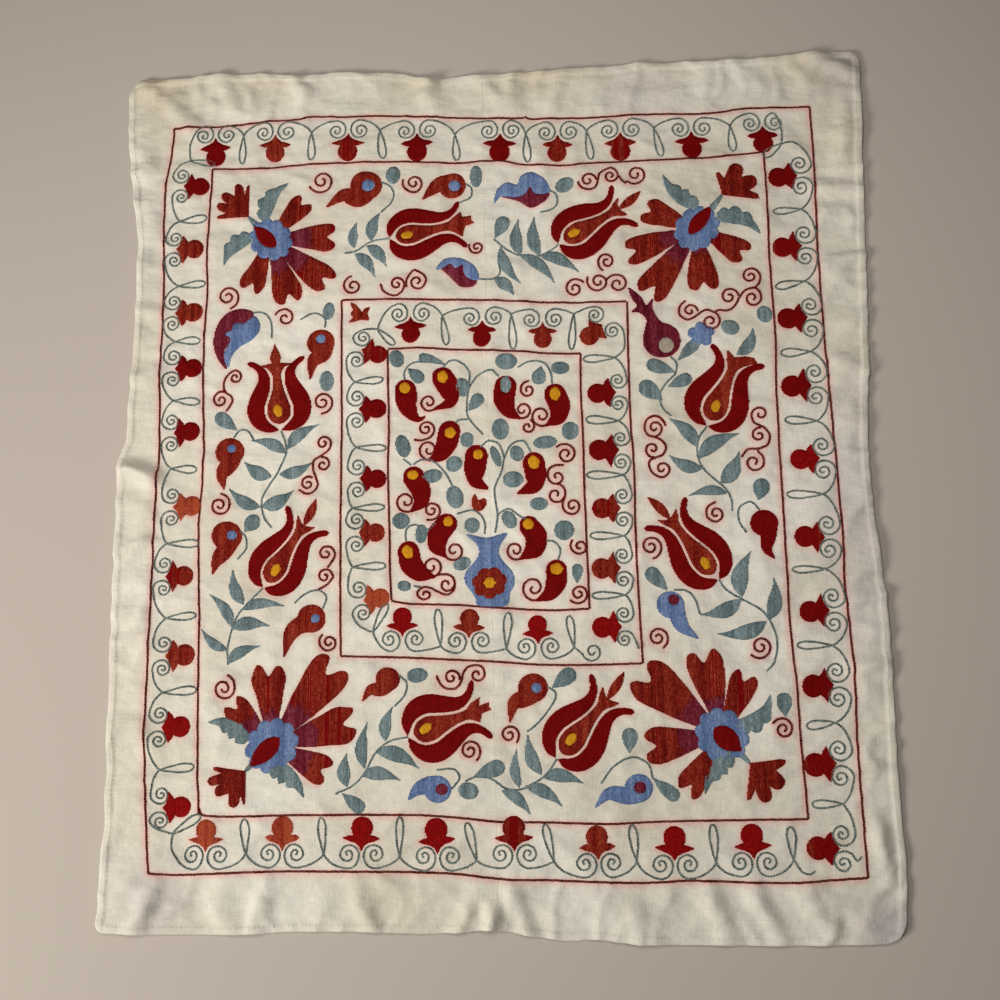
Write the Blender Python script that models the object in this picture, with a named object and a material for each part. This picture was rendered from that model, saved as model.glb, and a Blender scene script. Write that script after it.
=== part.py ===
"""Two-panel embroidered cotton hanging, laid flat: two hemmed panels that meet down the middle.

Metres, +Z up. The cloth lies on the plane z = 0, its length along Y. Each panel is one closed sheet.
"""
import math

import bpy
import numpy as np

MM = 0.001

# Sheet sizes, in millimetres.
CLOTH_THICK = 1.4
HEM_THICK = 2.6
HEM_WIDTH = 7.0
HEM_SLOPE = 3.0
SEAM_GAP = 0.3
PANEL_COLUMNS = 19
PANEL_ROWS = 43

# Side edges, millimetres from the cloth's middle: station along Y, then X.
LEFT_EDGE = (
    (-530, -456), (-450, -453), (-400, -450), (-310, -452), (-200, -454), (-100, -455),
    (0, -456), (25, -455), (50, -447), (120, -444), (230, -442), (300, -443), (350, -450),
    (400, -457), (460, -463), (530, -464),
)
RIGHT_EDGE = (
    (-530, 439), (-450, 445), (-350, 443), (-240, 446), (-150, 445), (-80, 440),
    (-20, 437), (40, 438), (130, 446), (210, 450), (300, 454), (390, 457), (460, 461), (530, 464),
)
SEAM_LINE = ((-530, -3), (-300, -4), (-100, -6), (150, -8), (350, -9), (530, -10))

# End edges, millimetres from the cloth's middle: station along X, then Y.
TOP_EDGE = (
    (-464, 519), (-445, 526), (-405, 525), (-350, 529), (-275, 528), (-248, 521), (-195, 526),
    (-110, 521), (-80, 508), (-52, 513), (0, 514), (60, 518), (130, 519), (190, 523), (285, 521),
    (360, 524), (425, 530), (464, 526),
)
BOTTOM_EDGE = (
    (-464, -514), (-405, -516), (-310, -517), (-235, -514), (-150, -514), (-80, -517),
    (-35, -514), (-8, -511), (25, -518), (72, -525), (105, -523), (150, -528), (230, -529),
    (310, -530), (400, -529), (464, -527),
)

# Corner roundings, millimetres: side (-1 left, 1 right), end (-1 bottom, 1 top), radius.
CORNERS = ((-1, 1, 16), (1, 1, 16), (-1, -1, 10), (1, -1, 26))

# Soft folds: middle x, middle y, heading in degrees, length, half width, height (millimetres).
FOLDS = (
    (-428, 10, -17, 80, 20, 7.0),
    (-452, 505, 45, 60, 20, 4.0),
    (-335, 500, -62, 90, 24, 4.5),
    (-245, 508, -55, 60, 20, 5.0),
    (-80, 500, 82, 60, 20, 5.5),
    (30, 490, 96, 90, 24, 2.5),
    (270, 490, 85, 90, 24, 2.5),
    (425, 512, -28, 100, 20, 5.0),
    (436, 420, 84, 130, 22, 3.0),
    (425, 344, -5, 90, 20, 3.5),
    (425, -155, 8, 90, 20, 3.0),
    (425, -232, -8, 90, 22, 4.0),
    (420, -430, 100, 110, 20, 3.0),
    (345, -495, -52, 95, 22, 4.0),
    (290, -497, -58, 95, 22, 4.5),
    (240, -500, -62, 85, 22, 4.0),
    (150, -505, 95, 70, 24, 2.5),
    (22, -495, -70, 90, 20, 4.5),
    (-40, -500, 60, 80, 20, 3.5),
    (-10, -505, 90, 70, 20, 5.0),
    (-150, -500, 100, 80, 24, 3.0),
    (-270, -500, 80, 80, 24, 3.5),
    (-400, -490, 62, 90, 22, 4.0),
    (-430, -300, 4, 70, 24, 3.0),
    (-432, -160, -6, 70, 24, 3.0),
    (-428, 130, 14, 80, 20, 3.0),
    (-430, 215, -8, 70, 20, 3.0),
    (-432, 300, 80, 120, 22, 3.5),
    (-300, 20, -2, 260, 24, 1.8),
    (150, 25, 3, 300, 24, 1.5),
    (0, 0, 90.3, 1000, 20, 1.5),
)


def edge_at(table, station):
    """Reading of an edge table, eased between its stations."""
    stations = [row[0] for row in table]
    values = [row[1] for row in table]
    return np.interp(station, stations, values)


def fold_height(x, y):
    """Lift of the sheet above the plane it lies on, millimetres."""
    lift = 0.0
    for middle_x, middle_y, heading, length, half_width, height in FOLDS:
        angle = math.radians(heading)
        along = (x - middle_x) * math.cos(angle) + (y - middle_y) * math.sin(angle)
        across = (y - middle_y) * math.cos(angle) - (x - middle_x) * math.sin(angle)
        if abs(across) >= half_width or abs(along) >= length / 2:
            continue
        ridge = 0.5 + 0.5 * math.cos(math.pi * across / half_width)
        fade = min(1.0, (length / 2 - abs(along)) / (0.35 * length))
        lift = max(lift, height * ridge * fade * fade * (3 - 2 * fade))
    return lift


def round_corner(x, y, side, end, radius):
    """Draw the points of one square corner in to a round one."""
    corner_x = edge_at(RIGHT_EDGE if side > 0 else LEFT_EDGE, end * 520)
    corner_y = edge_at(TOP_EDGE if end > 0 else BOTTOM_EDGE, side * 455)
    a = 1 - (corner_x - x) * side / radius
    b = 1 - (corner_y - y) * end / radius
    if a <= 0 or b <= 0:
        return x, y
    a = min(a, 1.0)
    b = min(b, 1.0)
    round_a = a * math.sqrt(1 - b * b / 2)
    round_b = b * math.sqrt(1 - a * a / 2)
    return x + (round_a - a) * radius * side, y + (round_b - b) * radius * end


def hem_stations(width, count, hem_at_start, hem_at_end):
    """Grid lines across a width, with close ones where a hem steps down."""
    inset = HEM_WIDTH + HEM_SLOPE
    start = inset if hem_at_start else 0.0
    stop = width - inset if hem_at_end else width
    lines = list(np.linspace(start, stop, count))
    if hem_at_start:
        lines = [0.0, HEM_WIDTH] + lines
    if hem_at_end:
        lines = lines + [width - HEM_WIDTH, width]
    return lines


def thickness_at(hem_distance):
    """Sheet thickness for a distance in from the nearest hemmed edge."""
    step = min(1.0, max(0.0, (hem_distance - HEM_WIDTH) / HEM_SLOPE))
    return HEM_THICK + (CLOTH_THICK - HEM_THICK) * step


def panel_points(is_left):
    """Lower and upper points of one panel, row by row."""
    nominal_width = 450.0
    nominal_length = 1040.0
    columns = hem_stations(nominal_width, PANEL_COLUMNS, is_left, not is_left)
    rows = hem_stations(nominal_length, PANEL_ROWS, True, True)
    lower = []
    upper = []
    for row in rows:
        t = row / nominal_length
        for column in columns:
            s = column / nominal_width
            y = -520 + 1040 * t
            for _ in range(3):
                seam = edge_at(SEAM_LINE, y)
                if is_left:
                    outer = edge_at(LEFT_EDGE, y)
                    x = outer + (seam - SEAM_GAP / 2 - outer) * s
                else:
                    outer = edge_at(RIGHT_EDGE, y)
                    x = seam + SEAM_GAP / 2 + (outer - seam - SEAM_GAP / 2) * s
                low = edge_at(BOTTOM_EDGE, x)
                high = edge_at(TOP_EDGE, x)
                y = low + (high - low) * t
            for side, end, radius in CORNERS:
                if (side < 0) == is_left:
                    x, y = round_corner(x, y, side, end, radius)
            side_distance = column if is_left else nominal_width - column
            end_distance = min(row, nominal_length - row)
            thick = thickness_at(min(side_distance, end_distance))
            lift = fold_height(x, y)
            lower.append((x, y, lift))
            upper.append((x, y, lift + thick))
    return lower, upper, len(columns), len(rows)


def sheet_faces(column_count, row_count):
    """Faces of a closed sheet: lower skin, upper skin, then its rim."""
    size = column_count * row_count
    faces = []
    for j in range(row_count - 1):
        for i in range(column_count - 1):
            a = j * column_count + i
            b = a + 1
            c = b + column_count
            d = a + column_count
            faces.append((a, d, c, b))
            faces.append((a + size, b + size, c + size, d + size))
    rim = list(range(column_count))
    rim += [j * column_count + column_count - 1 for j in range(1, row_count)]
    rim += [(row_count - 1) * column_count + i for i in range(column_count - 2, -1, -1)]
    rim += [j * column_count for j in range(row_count - 2, 0, -1)]
    for k, a in enumerate(rim):
        b = rim[(k + 1) % len(rim)]
        faces.append((a, b, b + size, a + size))
    return faces


def cotton(name, colour):
    """Matt unbleached cotton."""
    material = bpy.data.materials.new(name)
    material.use_nodes = True
    shader = material.node_tree.nodes["Principled BSDF"]
    shader.inputs["Base Color"].default_value = colour
    shader.inputs["Roughness"].default_value = 0.9
    return material


def add_panel(name, is_left, centre, colour):
    """One panel of the cloth as a closed mesh object."""
    lower, upper, column_count, row_count = panel_points(is_left)
    points = [((x - centre[0]) * MM, (y - centre[1]) * MM, z * MM) for x, y, z in lower + upper]
    mesh = bpy.data.meshes.new(name)
    mesh.from_pydata(points, [], sheet_faces(column_count, row_count))
    mesh.validate()
    mesh.update()
    panel = bpy.data.objects.new(name, mesh)
    panel.data.materials.append(cotton(name, colour))
    bpy.context.scene.collection.objects.link(panel)
    return panel


def cloth_centre():
    """Middle of the whole cloth's outline, so the object's box is centred on Z."""
    outline = []
    for is_left in (True, False):
        lower, upper, _, _ = panel_points(is_left)
        outline += lower
    xs = [point[0] for point in outline]
    ys = [point[1] for point in outline]
    return (min(xs) + max(xs)) / 2, (min(ys) + max(ys)) / 2


for leftover in list(bpy.data.objects):
    bpy.data.objects.remove(leftover, do_unlink=True)

CENTRE = cloth_centre()
add_panel("panel_left", True, CENTRE, (0.72, 0.66, 0.53, 1.0))
add_panel("panel_right", False, CENTRE, (0.72, 0.66, 0.53, 1.0))
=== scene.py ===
"""Two-panel cotton hanging with floral embroidery, laid face up on a pale surface.

Every length in the tables is in millimetres on the laid cloth: x across, y towards the top edge.
"""
import math
import random

import bpy
import numpy as np
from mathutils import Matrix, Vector


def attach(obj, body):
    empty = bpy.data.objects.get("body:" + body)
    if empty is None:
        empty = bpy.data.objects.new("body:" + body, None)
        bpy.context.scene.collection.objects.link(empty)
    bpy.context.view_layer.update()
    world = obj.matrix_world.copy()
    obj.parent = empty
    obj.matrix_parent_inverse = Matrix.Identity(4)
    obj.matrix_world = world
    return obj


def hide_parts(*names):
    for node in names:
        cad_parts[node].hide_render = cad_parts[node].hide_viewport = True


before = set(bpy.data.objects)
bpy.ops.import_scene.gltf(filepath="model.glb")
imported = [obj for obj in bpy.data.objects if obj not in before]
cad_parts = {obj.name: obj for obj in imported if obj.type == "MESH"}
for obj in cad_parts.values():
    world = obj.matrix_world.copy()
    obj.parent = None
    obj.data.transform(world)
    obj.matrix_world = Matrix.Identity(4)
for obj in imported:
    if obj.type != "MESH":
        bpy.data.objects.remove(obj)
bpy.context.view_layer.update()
RNG = random.Random(41)
MM = 0.001

# ---------------------------------------------------------------- cloth sizes
CLOTH_THICK = 1.1
HEM_THICK = 2.1
HEM_WIDTH = 7.0
HEM_SLOPE = 1.6
SEAM_GAP = 0.05
# A grid line this far from the seam keeps the rounding of its shading narrow.
SEAM_LIP = 0.6
# The free edge thins to this share of its thickness over this width.
ROLL_WIDTH = 0.9
ROLL_SHARE = 0.72
PANEL_WIDTH = 450.0
PANEL_LENGTH = 1040.0
GRID_STEP = 3.9
# Stations of the corners on the edge tables.
CORNER_X = 455
CORNER_Y = 520

LEFT_EDGE = (
    (-530, -456), (-450, -453), (-400, -450), (-310, -452), (-200, -454), (-100, -455),
    (0, -456), (25, -455), (50, -447), (120, -444), (230, -442), (300, -443), (350, -450),
    (400, -457), (460, -463), (530, -464),
)
RIGHT_EDGE = (
    (-530, 439), (-450, 445), (-350, 443), (-240, 446), (-150, 445), (-80, 440),
    (-20, 437), (40, 438), (130, 446), (210, 450), (300, 454), (390, 457), (460, 461), (530, 464),
)
SEAM_LINE = ((-530, -3), (-300, -4), (-100, -6), (150, -8), (350, -9), (530, -10))
TOP_EDGE = (
    (-464, 519), (-445, 526), (-405, 525), (-350, 529), (-275, 528), (-248, 521), (-195, 526),
    (-110, 521), (-80, 508), (-52, 513), (0, 514), (60, 518), (130, 519), (190, 523), (285, 521),
    (360, 524), (425, 530), (464, 526),
)
BOTTOM_EDGE = (
    (-464, -514), (-405, -516), (-310, -517), (-235, -514), (-150, -514), (-80, -517),
    (-35, -514), (-8, -511), (25, -518), (72, -525), (105, -523), (150, -528), (230, -529),
    (310, -530), (400, -529), (464, -527),
)
# Rounded corners: side, end, radius.
CORNERS = ((-1, 1, 16), (1, 1, 16), (-1, -1, 10), (1, -1, 26))

# Main folds: middle x, middle y, heading in degrees, length, half width, height.
FOLDS = (
    (-428, 10, -17, 80, 16, 9.1),
    (-452, 505, 45, 60, 16, 5.2),
    (-335, 500, -62, 90, 19, 5.9),
    (-245, 508, -55, 60, 16, 6.5),
    (-80, 500, 82, 60, 16, 7.2),
    (30, 490, 96, 90, 19, 3.2),
    (270, 490, 85, 90, 19, 3.2),
    (425, 512, -28, 100, 16, 6.5),
    (436, 420, 84, 130, 18, 3.9),
    (425, 344, -5, 90, 16, 4.5),
    (425, -155, 8, 90, 16, 3.9),
    (425, -232, -8, 90, 18, 5.2),
    (420, -430, 100, 110, 16, 3.9),
    (345, -495, -52, 95, 18, 5.2),
    (290, -497, -58, 95, 18, 5.9),
    (240, -500, -62, 85, 18, 5.2),
    (150, -505, 95, 70, 19, 3.2),
    (22, -495, -70, 90, 16, 5.9),
    (-40, -500, 60, 80, 16, 4.5),
    (-10, -505, 90, 70, 16, 6.5),
    (-150, -500, 100, 80, 19, 3.9),
    (-270, -500, 80, 80, 19, 4.5),
    (-400, -490, 62, 90, 18, 5.2),
    (-430, -300, 4, 70, 19, 3.9),
    (-432, -160, -6, 70, 19, 3.9),
    (-428, 130, 14, 80, 16, 3.9),
    (-430, 215, -8, 70, 16, 3.9),
    (-432, 300, 80, 120, 18, 4.5),
    (-300, 20, -2, 260, 18, 2.2),
    (150, 25, 3, 300, 18, 1.8),
    (0, 0, 90.3, 1000, 15, 1.1),
    (82, 482, 76, 90, 15, 3.4),
    (-395, 470, -50, 90, 15, 3.6),
    (-440, 400, 12, 60, 15, 3.5),
    (-435, -80, 20, 80, 15, 4),
    (425, 120, -14, 90, 15, 4),
    (428, 250, 12, 80, 15, 3.4),
)
# Random creases: part of the cloth, heading, spacing along and across, sharpness, height.
CREASES = (
    ("middle", -4, 70, 24, 3, 2.0), ("middle", 35, 52, 28, 3, 1.7),
    ("side", 3, 75, 24, 3, 3.8), ("side", 48, 60, 36, 3, 3.2),
    ("end", 80, 75, 25, 3, 3.0), ("end", -38, 65, 36, 3, 3.0),
    ("all", 12, 44, 18, 2.5, 0.9), ("all", -28, 38, 20, 2.5, 0.7),
)
# Where the plain margins begin, and how far the change to them takes.
SIDE_MARGIN = (380, 35)
END_MARGIN = (438, 30)


def ease(share):
    """Soft start and stop of a share from 0 to 1."""
    return share ** 2 * (3 - 2 * share)


def fold_field(x, y, table):
    """Height of a table of ridges at points x, y (arrays)."""
    lift = np.zeros(np.shape(x))
    for middle_x, middle_y, heading, length, half_width, height in table:
        angle = math.radians(heading)
        along = (x - middle_x) * math.cos(angle) + (y - middle_y) * math.sin(angle)
        across = (y - middle_y) * math.cos(angle) - (x - middle_x) * math.sin(angle)
        near = (np.abs(across) < half_width) & (np.abs(along) < length / 2)
        ridge = 0.5 + 0.5 * np.cos(math.pi * across[near] / half_width)
        fade = np.minimum(1.0, (length / 2 - np.abs(along[near])) / (0.35 * length))
        lift[near] = np.maximum(lift[near], height * ridge * ease(fade))
    return lift


# The grid that heights and the bleed are kept on.
FIELD_STEP = 2.0
FIELD_X = np.arange(-480, 481, FIELD_STEP)
FIELD_Y = np.arange(-545, 546, FIELD_STEP)
CREASE_RNG = np.random.default_rng(17)
CREASE_CELLS = 401


def soften(field):
    """One pass of a small blur."""
    wide = np.pad(field, 1, mode="edge")
    return (wide[:-2, 1:-1] + wide[2:, 1:-1] + wide[1:-1, :-2] + wide[1:-1, 2:] + 2 * field) / 6


def bilinear(grid, i, j, share_x, share_y):
    """Value between four neighbouring cells of a grid."""
    low = grid[j, i] * (1 - share_x) + grid[j, i + 1] * share_x
    high = grid[j + 1, i] * (1 - share_x) + grid[j + 1, i + 1] * share_x
    return low * (1 - share_y) + high * share_y


def creases(x, y, heading, spacing_along, spacing_across, sharp):
    """Random crease field, 0 to 1, whose ridges mostly run along the heading."""
    angle = math.radians(heading)
    bent_x = x + 8 * np.sin(y / 31 + 1.3) + 5 * np.sin(y / 13 + x / 57)
    bent_y = y + 7 * np.sin(x / 43 + 0.4) + 4 * np.sin(x / 17 + y / 49)
    middle = CREASE_CELLS // 2
    u = (bent_x * math.cos(angle) + bent_y * math.sin(angle)) / spacing_along + middle
    v = (bent_y * math.cos(angle) - bent_x * math.sin(angle)) / spacing_across + middle
    lattice = CREASE_RNG.uniform(-1, 1, (CREASE_CELLS, CREASE_CELLS))
    i = u.astype(int)
    j = v.astype(int)
    return (1 - np.abs(bilinear(lattice, i, j, ease(u - i), ease(v - j)))) ** sharp


def margin_share(distance, margin):
    """How far into a margin a distance from the middle lies, 0 to 1."""
    start, width = margin
    return np.clip((np.abs(distance) - start) / width, 0, 1)


def ground_field():
    """Height of the cloth's underside on the field grid: named folds and random creases."""
    x, y = np.meshgrid(FIELD_X, FIELD_Y)
    side = margin_share(x, SIDE_MARGIN)
    end = margin_share(y, END_MARGIN) * (1 - side)
    parts = {"middle": 1 - np.maximum(side, end), "side": side, "end": end, "all": 1.0}
    lift = fold_field(x, y, FOLDS)
    for part, heading, spacing_along, spacing_across, sharp, height in CREASES:
        lift += parts[part] * height * creases(x, y, heading, spacing_along, spacing_across, sharp)
    for _ in range(2):
        lift = soften(lift)
    return lift - lift.min()


FIELD = ground_field()


def field_at(field, x, y):
    """Bilinear reading of a field laid on the FIELD_X, FIELD_Y grid."""
    u = np.clip((np.asarray(x, float) - FIELD_X[0]) / FIELD_STEP, 0, len(FIELD_X) - 1.001)
    v = np.clip((np.asarray(y, float) - FIELD_Y[0]) / FIELD_STEP, 0, len(FIELD_Y) - 1.001)
    i = u.astype(int)
    j = v.astype(int)
    return bilinear(field, i, j, u - i, v - j)


def top_at(x, y):
    """Height of the cloth's upper face inside the hems."""
    return field_at(FIELD, x, y) + CLOTH_THICK


def edge_at(table, station):
    """Reading of an edge table between its stations."""
    rows = np.array(table, float)
    return np.interp(station, rows[:, 0], rows[:, 1])


# ---------------------------------------------------------------- cloth panels
def hem_stations(width, at_start, at_end):
    """Grid lines across a width, close together where a hem steps down."""
    inset = HEM_WIDTH + HEM_SLOPE
    start = inset if at_start else 0.0
    stop = width - inset if at_end else width
    count = int(round((stop - start) / GRID_STEP)) + 1
    lines = np.linspace(start, stop, count)
    hem = np.array([0.0, ROLL_WIDTH, 4.0, HEM_WIDTH - 0.7, HEM_WIDTH])
    if at_start:
        lines = np.concatenate([hem, lines])
    if at_end:
        lines = np.concatenate([lines, width - hem[::-1]])
    if not at_start:
        lines = np.concatenate([[0.0, SEAM_LIP], lines[1:]])
    if not at_end:
        lines = np.concatenate([lines[:-1], [width - SEAM_LIP, width]])
    return lines


def round_corner(x, y, side, end, radius):
    """Draw the points of one square corner in to a round one."""
    corner_x = edge_at(RIGHT_EDGE if side > 0 else LEFT_EDGE, end * CORNER_Y)
    corner_y = edge_at(TOP_EDGE if end > 0 else BOTTOM_EDGE, side * CORNER_X)
    a = np.minimum(1.0, 1 - (corner_x - x) * side / radius)
    b = np.minimum(1.0, 1 - (corner_y - y) * end / radius)
    inside = (a > 0) & (b > 0)
    round_a = a * np.sqrt(np.maximum(0, 1 - b * b / 2))
    round_b = b * np.sqrt(np.maximum(0, 1 - a * a / 2))
    x = np.where(inside, x + (round_a - a) * radius * side, x)
    y = np.where(inside, y + (round_b - b) * radius * end, y)
    return x, y


def panel_plan(is_left, columns, rows):
    """Plan position of a panel's grid."""
    share_x, share_y = np.meshgrid(columns / PANEL_WIDTH, rows / PANEL_LENGTH)
    y = PANEL_LENGTH * (share_y - 0.5)
    for _ in range(3):
        if is_left:
            start = edge_at(LEFT_EDGE, y)
            stop = edge_at(SEAM_LINE, y) - SEAM_GAP / 2
        else:
            start = edge_at(SEAM_LINE, y) + SEAM_GAP / 2
            stop = edge_at(RIGHT_EDGE, y)
        x = start + (stop - start) * share_x
        low = edge_at(BOTTOM_EDGE, x)
        high = edge_at(TOP_EDGE, x)
        y = low + (high - low) * share_y
    for side, end, radius in CORNERS:
        if (side < 0) == is_left:
            x, y = round_corner(x, y, side, end, radius)
    return x, y


def panel_grid(is_left):
    """Grid lines of one panel, and the plan position of its grid."""
    columns = hem_stations(PANEL_WIDTH, is_left, not is_left)
    rows = hem_stations(PANEL_LENGTH, True, True)
    return columns, rows, *panel_plan(is_left, columns, rows)


def panel_mesh(is_left):
    """One panel as a closed thin sheet with turned hems."""
    columns, rows, x, y = panel_grid(is_left)
    side = columns if is_left else PANEL_WIDTH - columns
    end = np.minimum(rows, PANEL_LENGTH - rows)
    inset = np.minimum(side[None, :], end[:, None])
    step = np.clip((inset - HEM_WIDTH) / HEM_SLOPE, 0, 1)
    thick = HEM_THICK + (CLOTH_THICK - HEM_THICK) * step
    thick *= ROLL_SHARE + (1 - ROLL_SHARE) * np.clip(inset / ROLL_WIDTH, 0, 1)
    base = field_at(FIELD, x, y)
    low = np.stack([x, y, base], -1).reshape(-1, 3)
    high = np.stack([x, y, base + thick], -1).reshape(-1, 3)
    size = x.size
    grid = np.arange(size).reshape(x.shape)
    a, b = grid[:-1, :-1].ravel(), grid[:-1, 1:].ravel()
    c, d = grid[1:, 1:].ravel(), grid[1:, :-1].ravel()
    rim = np.concatenate([grid[0, :], grid[1:, -1], grid[-1, -2::-1], grid[-2:0:-1, 0]])
    after = np.roll(rim, -1)
    faces = [
        np.stack([a, d, c, b], 1),
        np.stack([a, b, c, d], 1) + size,
        np.stack([rim, after, after + size, rim + size], 1),
    ]
    return np.concatenate([low, high]), np.concatenate(faces)


def plan_centre():
    """Middle of the whole cloth's outline."""
    plans = [panel_grid(is_left)[2:] for is_left in (True, False)]
    xs, ys = (np.concatenate([plan[k].ravel() for plan in plans]) for k in (0, 1))
    return (xs.min() + xs.max()) / 2, (ys.min() + ys.max()) / 2


CENTRE_X, CENTRE_Y = plan_centre()


def to_metres(points):
    """Cloth millimetres to the row frame in metres."""
    out = np.array(points, float)
    out[:, 0] -= CENTRE_X
    out[:, 1] -= CENTRE_Y
    return out * MM


def mesh_object(name, points, faces, attributes=None):
    """A smooth-shaded mesh object from arrays, with float attributes on its points."""
    mesh = bpy.data.meshes.new(name)
    mesh.from_pydata(to_metres(points).tolist(), [], faces)
    for key, values in (attributes or {}).items():
        layer = mesh.attributes.new(key, "FLOAT", "POINT")
        layer.data.foreach_set("value", np.asarray(values, np.float32))
    mesh.polygons.foreach_set("use_smooth", [True] * len(mesh.polygons))
    mesh.update()
    obj = bpy.data.objects.new(name, mesh)
    bpy.context.scene.collection.objects.link(obj)
    return obj


# ---------------------------------------------------------------- drawing tools
TINY = 1e-9
# A shape's end is round where its half width there is over this.
ROUND_FROM = 1.5
# Degrees between a curl's points, how its reach shrinks, and how near its middle it ends.
CURL_STEP = 16
CURL_EASE = 0.85
CURL_EYE = 1.4


def smooth(points, closed=False, step=1.6):
    """Catmull-Rom curve through points, sampled about every step."""
    p = np.array(points, float)
    if closed:
        p = np.vstack([p[-1], p, p[0], p[1]])
    else:
        p = np.vstack([2 * p[0] - p[1], p, 2 * p[-1] - p[-2]])
    out = []
    for k in range(1, len(p) - 2):
        p0, p1, p2, p3 = p[k - 1], p[k], p[k + 1], p[k + 2]
        count = max(2, int(np.linalg.norm(p2 - p1) / step) + 1)
        t = np.linspace(0, 1, count, endpoint=False)[:, None]
        out.append(
            0.5 * (2 * p1 + (p2 - p0) * t + (2 * p0 - 5 * p1 + 4 * p2 - p3) * t ** 2
                   + (3 * p1 - p0 - 3 * p2 + p3) * t ** 3)
        )
    if not closed:
        out.append(p[-2:-1])
    return np.vstack(out)


def turn(points, origin, heading, scale=1.0, flip=1):
    """Local (along, across) points set at origin with along on the heading."""
    p = np.array(points, float) * scale
    a = math.radians(heading)
    along = np.array([math.cos(a), math.sin(a)])
    across = np.array([-math.sin(a), math.cos(a)]) * flip
    return np.array(origin, float) + p[:, :1] * along + p[:, 1:] * across


def mirrored(half):
    """A closed outline from its half, mirrored about the along axis."""
    other = [(a, -b) for a, b in reversed(half) if abs(b) > 1e-6]
    return list(half) + other


def directions(line):
    """Unit tangents of a polyline and the normals to their left."""
    tangent = np.gradient(line, axis=0)
    tangent /= np.linalg.norm(tangent, axis=1)[:, None] + TINY
    return tangent, np.stack([-tangent[:, 1], tangent[:, 0]], 1)


def round_end(middle, radius, outward):
    """Arc about the middle of a shape's end, from one side to the other."""
    angles = math.atan2(outward[1], outward[0]) + np.arange(-5, 6) * math.pi / 12
    return middle + radius * np.stack([np.cos(angles), np.sin(angles)], 1)


def bean(spine, widths):
    """Outline of a shape that swells and thins along a spine, with round ends where it is wide."""
    line = smooth(spine)
    half = np.interp(np.linspace(0, 1, len(line)), np.linspace(0, 1, len(widths)), widths)
    half = np.convolve(np.pad(half, 1, mode="edge"), np.ones(3) / 3, "valid")
    tangent, normal = directions(line)
    offset = normal * half[:, None]
    parts = [line - offset]
    if half[-1] > ROUND_FROM:
        parts.append(round_end(line[-1], half[-1], tangent[-1]))
    parts.append((line + offset)[::-1])
    if half[0] > ROUND_FROM:
        parts.append(round_end(line[0], half[0], -tangent[0]))
    return np.vstack(parts)


def polar(x, y, heading, reach):
    """The point at a heading and reach from x, y."""
    angle = math.radians(heading)
    return x + reach * math.cos(angle), y + reach * math.sin(angle)


def oval(x, y, half_x, half_y, heading=0.0, lobes=0, depth=0.0, points=40):
    """Ellipse, or a scalloped flower outline when it has lobes."""
    out = []
    for k in range(points):
        a = 2 * math.pi * k / points
        r = 1.0
        if lobes:
            r = 1 - depth + depth * 2 * abs(math.cos(lobes * a / 2)) ** 0.7
        out.append((half_x * r * math.cos(a), half_y * r * math.sin(a)))
    return turn(out, (x, y), heading)


def spiral(x, y, radius, outer_angle, sweep, stretch=1.0):
    """Curl from its outer end in to its eye."""
    count = max(12, int(abs(sweep) / CURL_STEP))
    out = []
    for k in range(count + 1):
        t = k / count
        across, up = polar(0, 0, outer_angle + sweep * t, radius * (1.12 - 0.95 * t ** CURL_EASE))
        out.append((x + across, y + up * stretch))
    return out


def curl_from(start, middle, sweep):
    """Curl that carries on from a tail's end, about a middle."""
    dx = start[0] - middle[0]
    dy = start[1] - middle[1]
    first = math.degrees(math.atan2(dy, dx))
    reach = math.hypot(dx, dy)
    count = int(abs(sweep) / CURL_STEP)
    shares = [k / count for k in range(count + 1)]
    return [
        polar(*middle, first + sweep * t, CURL_EYE + (reach - CURL_EYE) * (1 - t) ** CURL_EASE)
        for t in shares
    ]


# ---------------------------------------------------------------- stitches
THREAD_PITCH = 1.25
THREAD_HEIGHT = 0.68
# A laid thread's section: across, and up from the cloth. Its ends come down to THREAD_END.
THREAD_PROFILE = ((-0.90, -0.15), (-0.46, THREAD_HEIGHT), (0.46, THREAD_HEIGHT), (0.90, -0.15))
THREAD_END = 0.25
# Rows shorter than this are left out, and each end may run over by up to ROW_OVERRUN.
SHORTEST_ROW = 0.7
ROW_OVERRUN = 0.5
TIE_PITCH = 4.6
CHAIN_PITCH = 3.2
CHAIN_HEIGHT = 0.95
CHAIN_SINK = 0.12
# Half width of a link between its legs, and half width of a leg, by line.
CHAIN_SIZES = {
    "frame": (1.35, 0.8),
    "curl": (1.5, 0.85),
    "scroll": (1.2, 0.72),
    "stem": (1.2, 0.72),
}
# A leg of a link: share along it, share of its half width, share of its height.
CHAIN_LEG = ((-0.30, 0.10, 0.35), (0.42, 0.62, 1.0), (1.0, 0.30, 0.7))
# Broad uneven dye of the fill yarns from row to row, and how wide each change is.
STRIPES = [RNG.uniform(-1, 1) for _ in range(260)]
STRIPE_WIDTH = 3.9


def stripe(x):
    """Slow change of dye across the rows at plan x."""
    place = (x + 480) / STRIPE_WIDTH
    k = int(place)
    return STRIPES[k] + (STRIPES[k + 1] - STRIPES[k]) * (place - k)


class Threads:
    """Joined mesh of many short threads of one colour."""

    def __init__(self):
        self.points = []
        self.quads = []
        self.caps = []
        self.tones = []
        self.count = 0

    def add(self, points, quads, tones, caps=None):
        """Take in one more piece of thread, its faces numbered from its own first point."""
        self.points.append(points)
        self.quads.append(quads + self.count)
        if caps is not None:
            self.caps.append(caps + self.count)
        self.tones.append(tones)
        self.count += len(points)

    def build(self, name):
        """The mesh object of all the thread."""
        faces = np.concatenate(self.quads).tolist()
        if self.caps:
            faces += np.concatenate(self.caps).tolist()
        return mesh_object(
            name, np.concatenate(self.points), faces, {"tone": np.concatenate(self.tones)}
        )


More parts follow.
